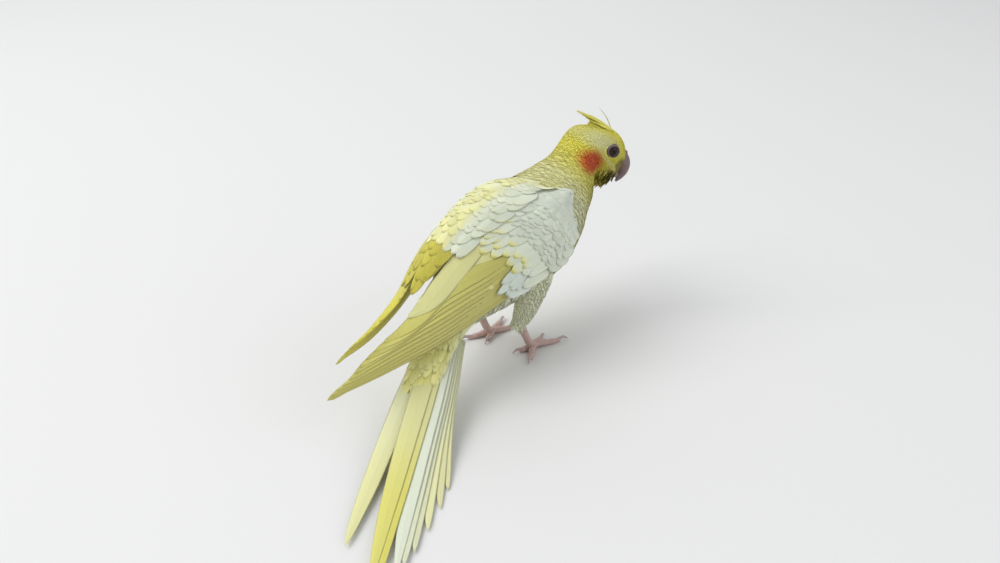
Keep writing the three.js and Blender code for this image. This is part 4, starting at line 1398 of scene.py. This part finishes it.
# %% Scales group
scales_group, given, result = new_group(
    "Scales",
    [("Vector", "Vector", None), ("Scale", "Float", 900.0), ("Depth", "Float", 0.5)],
    [("Gap", "Float"), ("Normal", "Vector")],
)
cells = scales_group.nodes.new("ShaderNodeTexVoronoi")
cells.feature = "DISTANCE_TO_EDGE"
put(scales_group, cells.inputs["Vector"], given.outputs["Vector"])
put(scales_group, cells.inputs["Scale"], given.outputs["Scale"])
dome = math(scales_group, "MULTIPLY", cells.outputs["Distance"], 5.0, clamp=True)
gap = math(scales_group, "SUBTRACT", 1.0, dome, clamp=True)
bump = scales_group.nodes.new("ShaderNodeBump")
bump.inputs["Distance"].default_value = 0.0003
put(scales_group, bump.inputs["Strength"], given.outputs["Depth"])
put(scales_group, bump.inputs["Height"], dome)
scales_group.links.new(gap, result.inputs["Gap"])
scales_group.links.new(bump.outputs[0], result.inputs["Normal"])

# %% [markdown]
# Each material starts from one helper. Plumage takes its colour from the mark, a small difference from
# feather to feather from the tone, and its relief from the vane.

# %% Material helpers


def new_material(name, rough, specular=0.5):
    """A material with its tree, its Principled node and its object coordinates."""
    material = bpy.data.materials.new(name)
    material.use_nodes = True
    tree = material.node_tree
    surface = tree.nodes["Principled BSDF"]
    surface.inputs["Roughness"].default_value = rough
    surface.inputs["Specular IOR Level"].default_value = specular
    place = tree.nodes.new("ShaderNodeTexCoord").outputs["Object"]
    return material, tree, surface, place


def use_group(tree, group, **values):
    """A group node with its inputs set or linked."""
    node = tree.nodes.new("ShaderNodeGroup")
    node.node_tree = group
    for key, value in values.items():
        put(tree, node.inputs[key], value)
    return node


def attribute(tree, name):
    """The node that reads a named attribute of the mesh."""
    node = tree.nodes.new("ShaderNodeAttribute")
    node.attribute_name = name
    return node


def feather_material(name, barbs, depth):
    """Plumage: the mark's colour times the vane's shade, with a soft sheen and some light passing in. With
    no barbs it is the plain skin, which has no vane."""
    material, tree, surface, _ = new_material(name, 0.62, 0.3)
    mark = attribute(tree, "mark")
    tone = attribute(tree, "tone")
    paint = use_group(tree, plumage_colour, Mark=mark.outputs["Color"], Grey=mark.outputs["Alpha"],
                      Tone=tone.outputs["Fac"])
    colour = paint.outputs["Color"]
    if barbs:
        uv = tree.nodes.new("ShaderNodeUVMap")
        uv.uv_map = "vane"
        vane = use_group(tree, vane_group, Vane=uv.outputs[0], Barbs=barbs, Depth=depth)
        grey = tree.nodes.new("ShaderNodeCombineColor")
        for socket in grey.inputs:
            put(tree, socket, vane.outputs["Shade"])
        colour = mix(tree, 1.0, colour, grey.outputs[0], "MULTIPLY")
        put(tree, surface.inputs["Normal"], vane.outputs["Normal"])
    put(tree, surface.inputs["Base Color"], colour)
    surface.inputs["Sheen Weight"].default_value = 0.15
    surface.inputs["Sheen Roughness"].default_value = 0.5
    surface.inputs["Subsurface Weight"].default_value = 0.12
    surface.inputs["Subsurface Radius"].default_value = (1.0, 0.8, 0.4)
    surface.inputs["Subsurface Scale"].default_value = 0.0015
    return material


# %% [markdown]
# Small feathers have few coarse barbs, coverts more, and flight feathers many fine ones. The skin has
# none.

# %% Feather materials
down = feather_material("Small feathers", 26.0, 0.3)
covert_look = feather_material("Coverts", 90.0, 0.35)
quill_look = feather_material("Flight feathers", 420.0, 0.4)
skin_look = feather_material("Skin under the feathers", 0, 0)

# %% [markdown]
# The eye is dark and wet, with a pupil that is nearly black. Lids, cere and feet are skin with small
# scales, and bill and claws are horn with a soft grain.

# %% Eye, bill, foot and claw materials
LIGHT_REACH = 0.001  # metres that light passes into horn and skin
PUPIL_ANGLE = 0.36  # radians from the front of the eyeball
PUPIL_COLOUR = (0.004, 0.003, 0.003, 1)


def grained_look(name, rough, scale, detail, dark, pale, light_in=0.0):
    """Horn whose colour wanders between dark and pale, with a share of light passing in."""
    material, tree, surface, place = new_material(name, rough)
    put(tree, surface.inputs["Base Color"], mix(tree, noise(tree, place, scale, detail), dark, pale))
    surface.inputs["Subsurface Weight"].default_value = light_in
    surface.inputs["Subsurface Scale"].default_value = LIGHT_REACH
    return material


def scaled_look(name, rough, scale, depth, plate, gap, light_in=0.0):
    """Skin of small scales, with one colour on them and another between them."""
    material, tree, surface, place = new_material(name, rough)
    scales = use_group(tree, scales_group, Vector=place, Scale=scale, Depth=depth)
    put(tree, surface.inputs["Base Color"], mix(tree, scales.outputs["Gap"], plate, gap))
    put(tree, surface.inputs["Normal"], scales.outputs["Normal"])
    surface.inputs["Subsurface Weight"].default_value = light_in
    surface.inputs["Subsurface Scale"].default_value = LIGHT_REACH
    return material


eye_look, tree, surface, place = new_material("Eye", 0.09, 0.22)
pupil = math(tree, "LESS_THAN", attribute(tree, "polar").outputs["Fac"], PUPIL_ANGLE)
iris = mix(tree, noise(tree, place, 2600), (0.018, 0.008, 0.006, 1), (0.04, 0.018, 0.010, 1))
put(tree, surface.inputs["Base Color"], mix(tree, pupil, iris, PUPIL_COLOUR))

pit_look, _, surface, _ = new_material("Nostril", 0.8)
surface.inputs["Base Color"].default_value = (0.06, 0.035, 0.035, 1)

lid_look = scaled_look("Eyelid", 0.55, 1500.0, 0.5, (0.20, 0.15, 0.155, 1), (0.11, 0.08, 0.085, 1))
cere_look = scaled_look("Cere", 0.5, 1700.0, 0.25, (0.25, 0.175, 0.17, 1), (0.16, 0.11, 0.11, 1))
foot_look = scaled_look("Foot skin", 0.5, 1100.0, 0.45, (0.60, 0.42, 0.38, 1), (0.42, 0.27, 0.24, 1), 0.2)
bill_look = grained_look("Bill horn", 0.42, 420, 4, (0.13, 0.085, 0.085, 1), (0.24, 0.165, 0.16, 1), 0.15)
claw_look = grained_look("Claw horn", 0.35, 500, 3, (0.36, 0.27, 0.25, 1), (0.5, 0.4, 0.38, 1))

# %% [markdown]
# A piece takes the look that belongs to the start of its name.

# %% Who wears which look
LOOKS = {
    "plumage_": down, "coverts_": covert_look, "tail_coverts": covert_look,
    "flight_": quill_look, "tail_feathers": quill_look, "crest": quill_look, "skin": skin_look,
    "eyeball_": eye_look, "eyelid_": lid_look, "upper_bill": bill_look, "lower_bill": bill_look,
    "cere": cere_look, "nostrils": pit_look, "scaled_foot_": foot_look, "claw_horn_": claw_look,
}
for piece in bpy.context.scene.objects:
    if piece.type == "MESH" and piece.name not in frame["nodes"]:
        for start, look in LOOKS.items():
            if piece.name.startswith(start):
                piece.data.materials.append(look)
print("looks in use:", sorted({look.name for look in LOOKS.values()}))

# %% [markdown]
# The bird stands on a plain pale floor that runs out of sight.

# %% Floor
FLOOR_HALF = 30.0  # metres
floor_mesh = bpy.data.meshes.new("floor")
floor_corners = [(x * FLOOR_HALF, y * FLOOR_HALF, 0) for x, y in ((-1, -1), (1, -1), (1, 1), (-1, 1))]
floor_mesh.from_pydata(floor_corners, [], [(0, 1, 2, 3)])
floor = bpy.data.objects.new("floor", floor_mesh)
bpy.context.scene.collection.objects.link(floor)
floor_look, _, surface, _ = new_material("Floor", 0.9, 0.1)
surface.inputs["Base Color"].default_value = (0.72, 0.71, 0.69, 1)
floor_mesh.materials.append(floor_look)
floor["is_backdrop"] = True

# %% [markdown]
# The camera keeps the photograph's framing: it looks down on the bird from behind its right side.

# %% Camera
CAMERA_AIM = np.array([0.0, -10.0, 46.0])
CAMERA_AROUND, CAMERA_RAISED = np.radians(-52.5), np.radians(23.0)
CAMERA_FAR, SENSOR, LENS = 520.0, 36.0, 37.44  # mm
camera_right = np.array([np.cos(CAMERA_AROUND), np.sin(CAMERA_AROUND), 0.0])
level_back = np.array([np.sin(CAMERA_AROUND), -np.cos(CAMERA_AROUND), 0.0])
camera_back = level_back * np.cos(CAMERA_RAISED) + np.array([0, 0, np.sin(CAMERA_RAISED)])


def aimed(obj, place, aim):
    """Puts an object at place, both in drawing millimetres, with its -Z axis towards aim."""
    start, end = Vector((place - SHIFT) / PER_METRE), Vector((aim - SHIFT) / PER_METRE)
    obj.location = start
    obj.rotation_mode = "QUATERNION"
    obj.rotation_quaternion = (end - start).to_track_quat("-Z", "Y")


camera = bpy.data.objects.new("camera", bpy.data.cameras.new("camera"))
bpy.context.scene.collection.objects.link(camera)
camera.data.sensor_width, camera.data.lens = SENSOR, LENS
camera.data.clip_start, camera.data.clip_end = 0.01, 20.0
aimed(camera, CAMERA_AIM + camera_back * CAMERA_FAR, CAMERA_AIM)
bpy.context.scene.camera = camera

# %% [markdown]
# A large soft light high on the left, a wide fill from the right, a light from beyond the bird for its
# rim and an even pale sky make a soft studio light. One lamp would be simpler, but its hard shadow would
# hide the edges of the pale feathers.

# %% Lights and sky
LIGHTS = [
    # name, mm to the right of the aim, towards the camera and above, width in mm, watts
    ("key", -1500, 500, 1700, 1800, 38.0),
    ("fill", 1900, 900, 900, 2200, 11.0),
    ("rim", -300, -2000, 1400, 1800, 12.0),
]
for name, right, nearer, above, size, power in LIGHTS:
    lamp = bpy.data.objects.new(name, bpy.data.lights.new(name, "AREA"))
    lamp.data.energy, lamp.data.size = power, size / PER_METRE
    bpy.context.scene.collection.objects.link(lamp)
    offset = camera_right * right + level_back * nearer + np.array([0, 0, above])
    aimed(lamp, CAMERA_AIM + offset, CAMERA_AIM)

world = bpy.data.worlds.new("sky")
world.use_nodes = True
sky = world.node_tree.nodes["Background"]
sky.inputs["Color"].default_value = (0.86, 0.90, 0.95, 1)
sky.inputs["Strength"].default_value = 0.66
bpy.context.scene.world = world
bpy.context.scene.view_settings.view_transform = "Standard"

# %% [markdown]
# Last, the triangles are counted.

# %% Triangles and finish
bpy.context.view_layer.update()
total = sum(len(p.vertices) - 2 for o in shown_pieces() if o.type == "MESH" for p in o.data.polygons)
print("triangles in all", total)
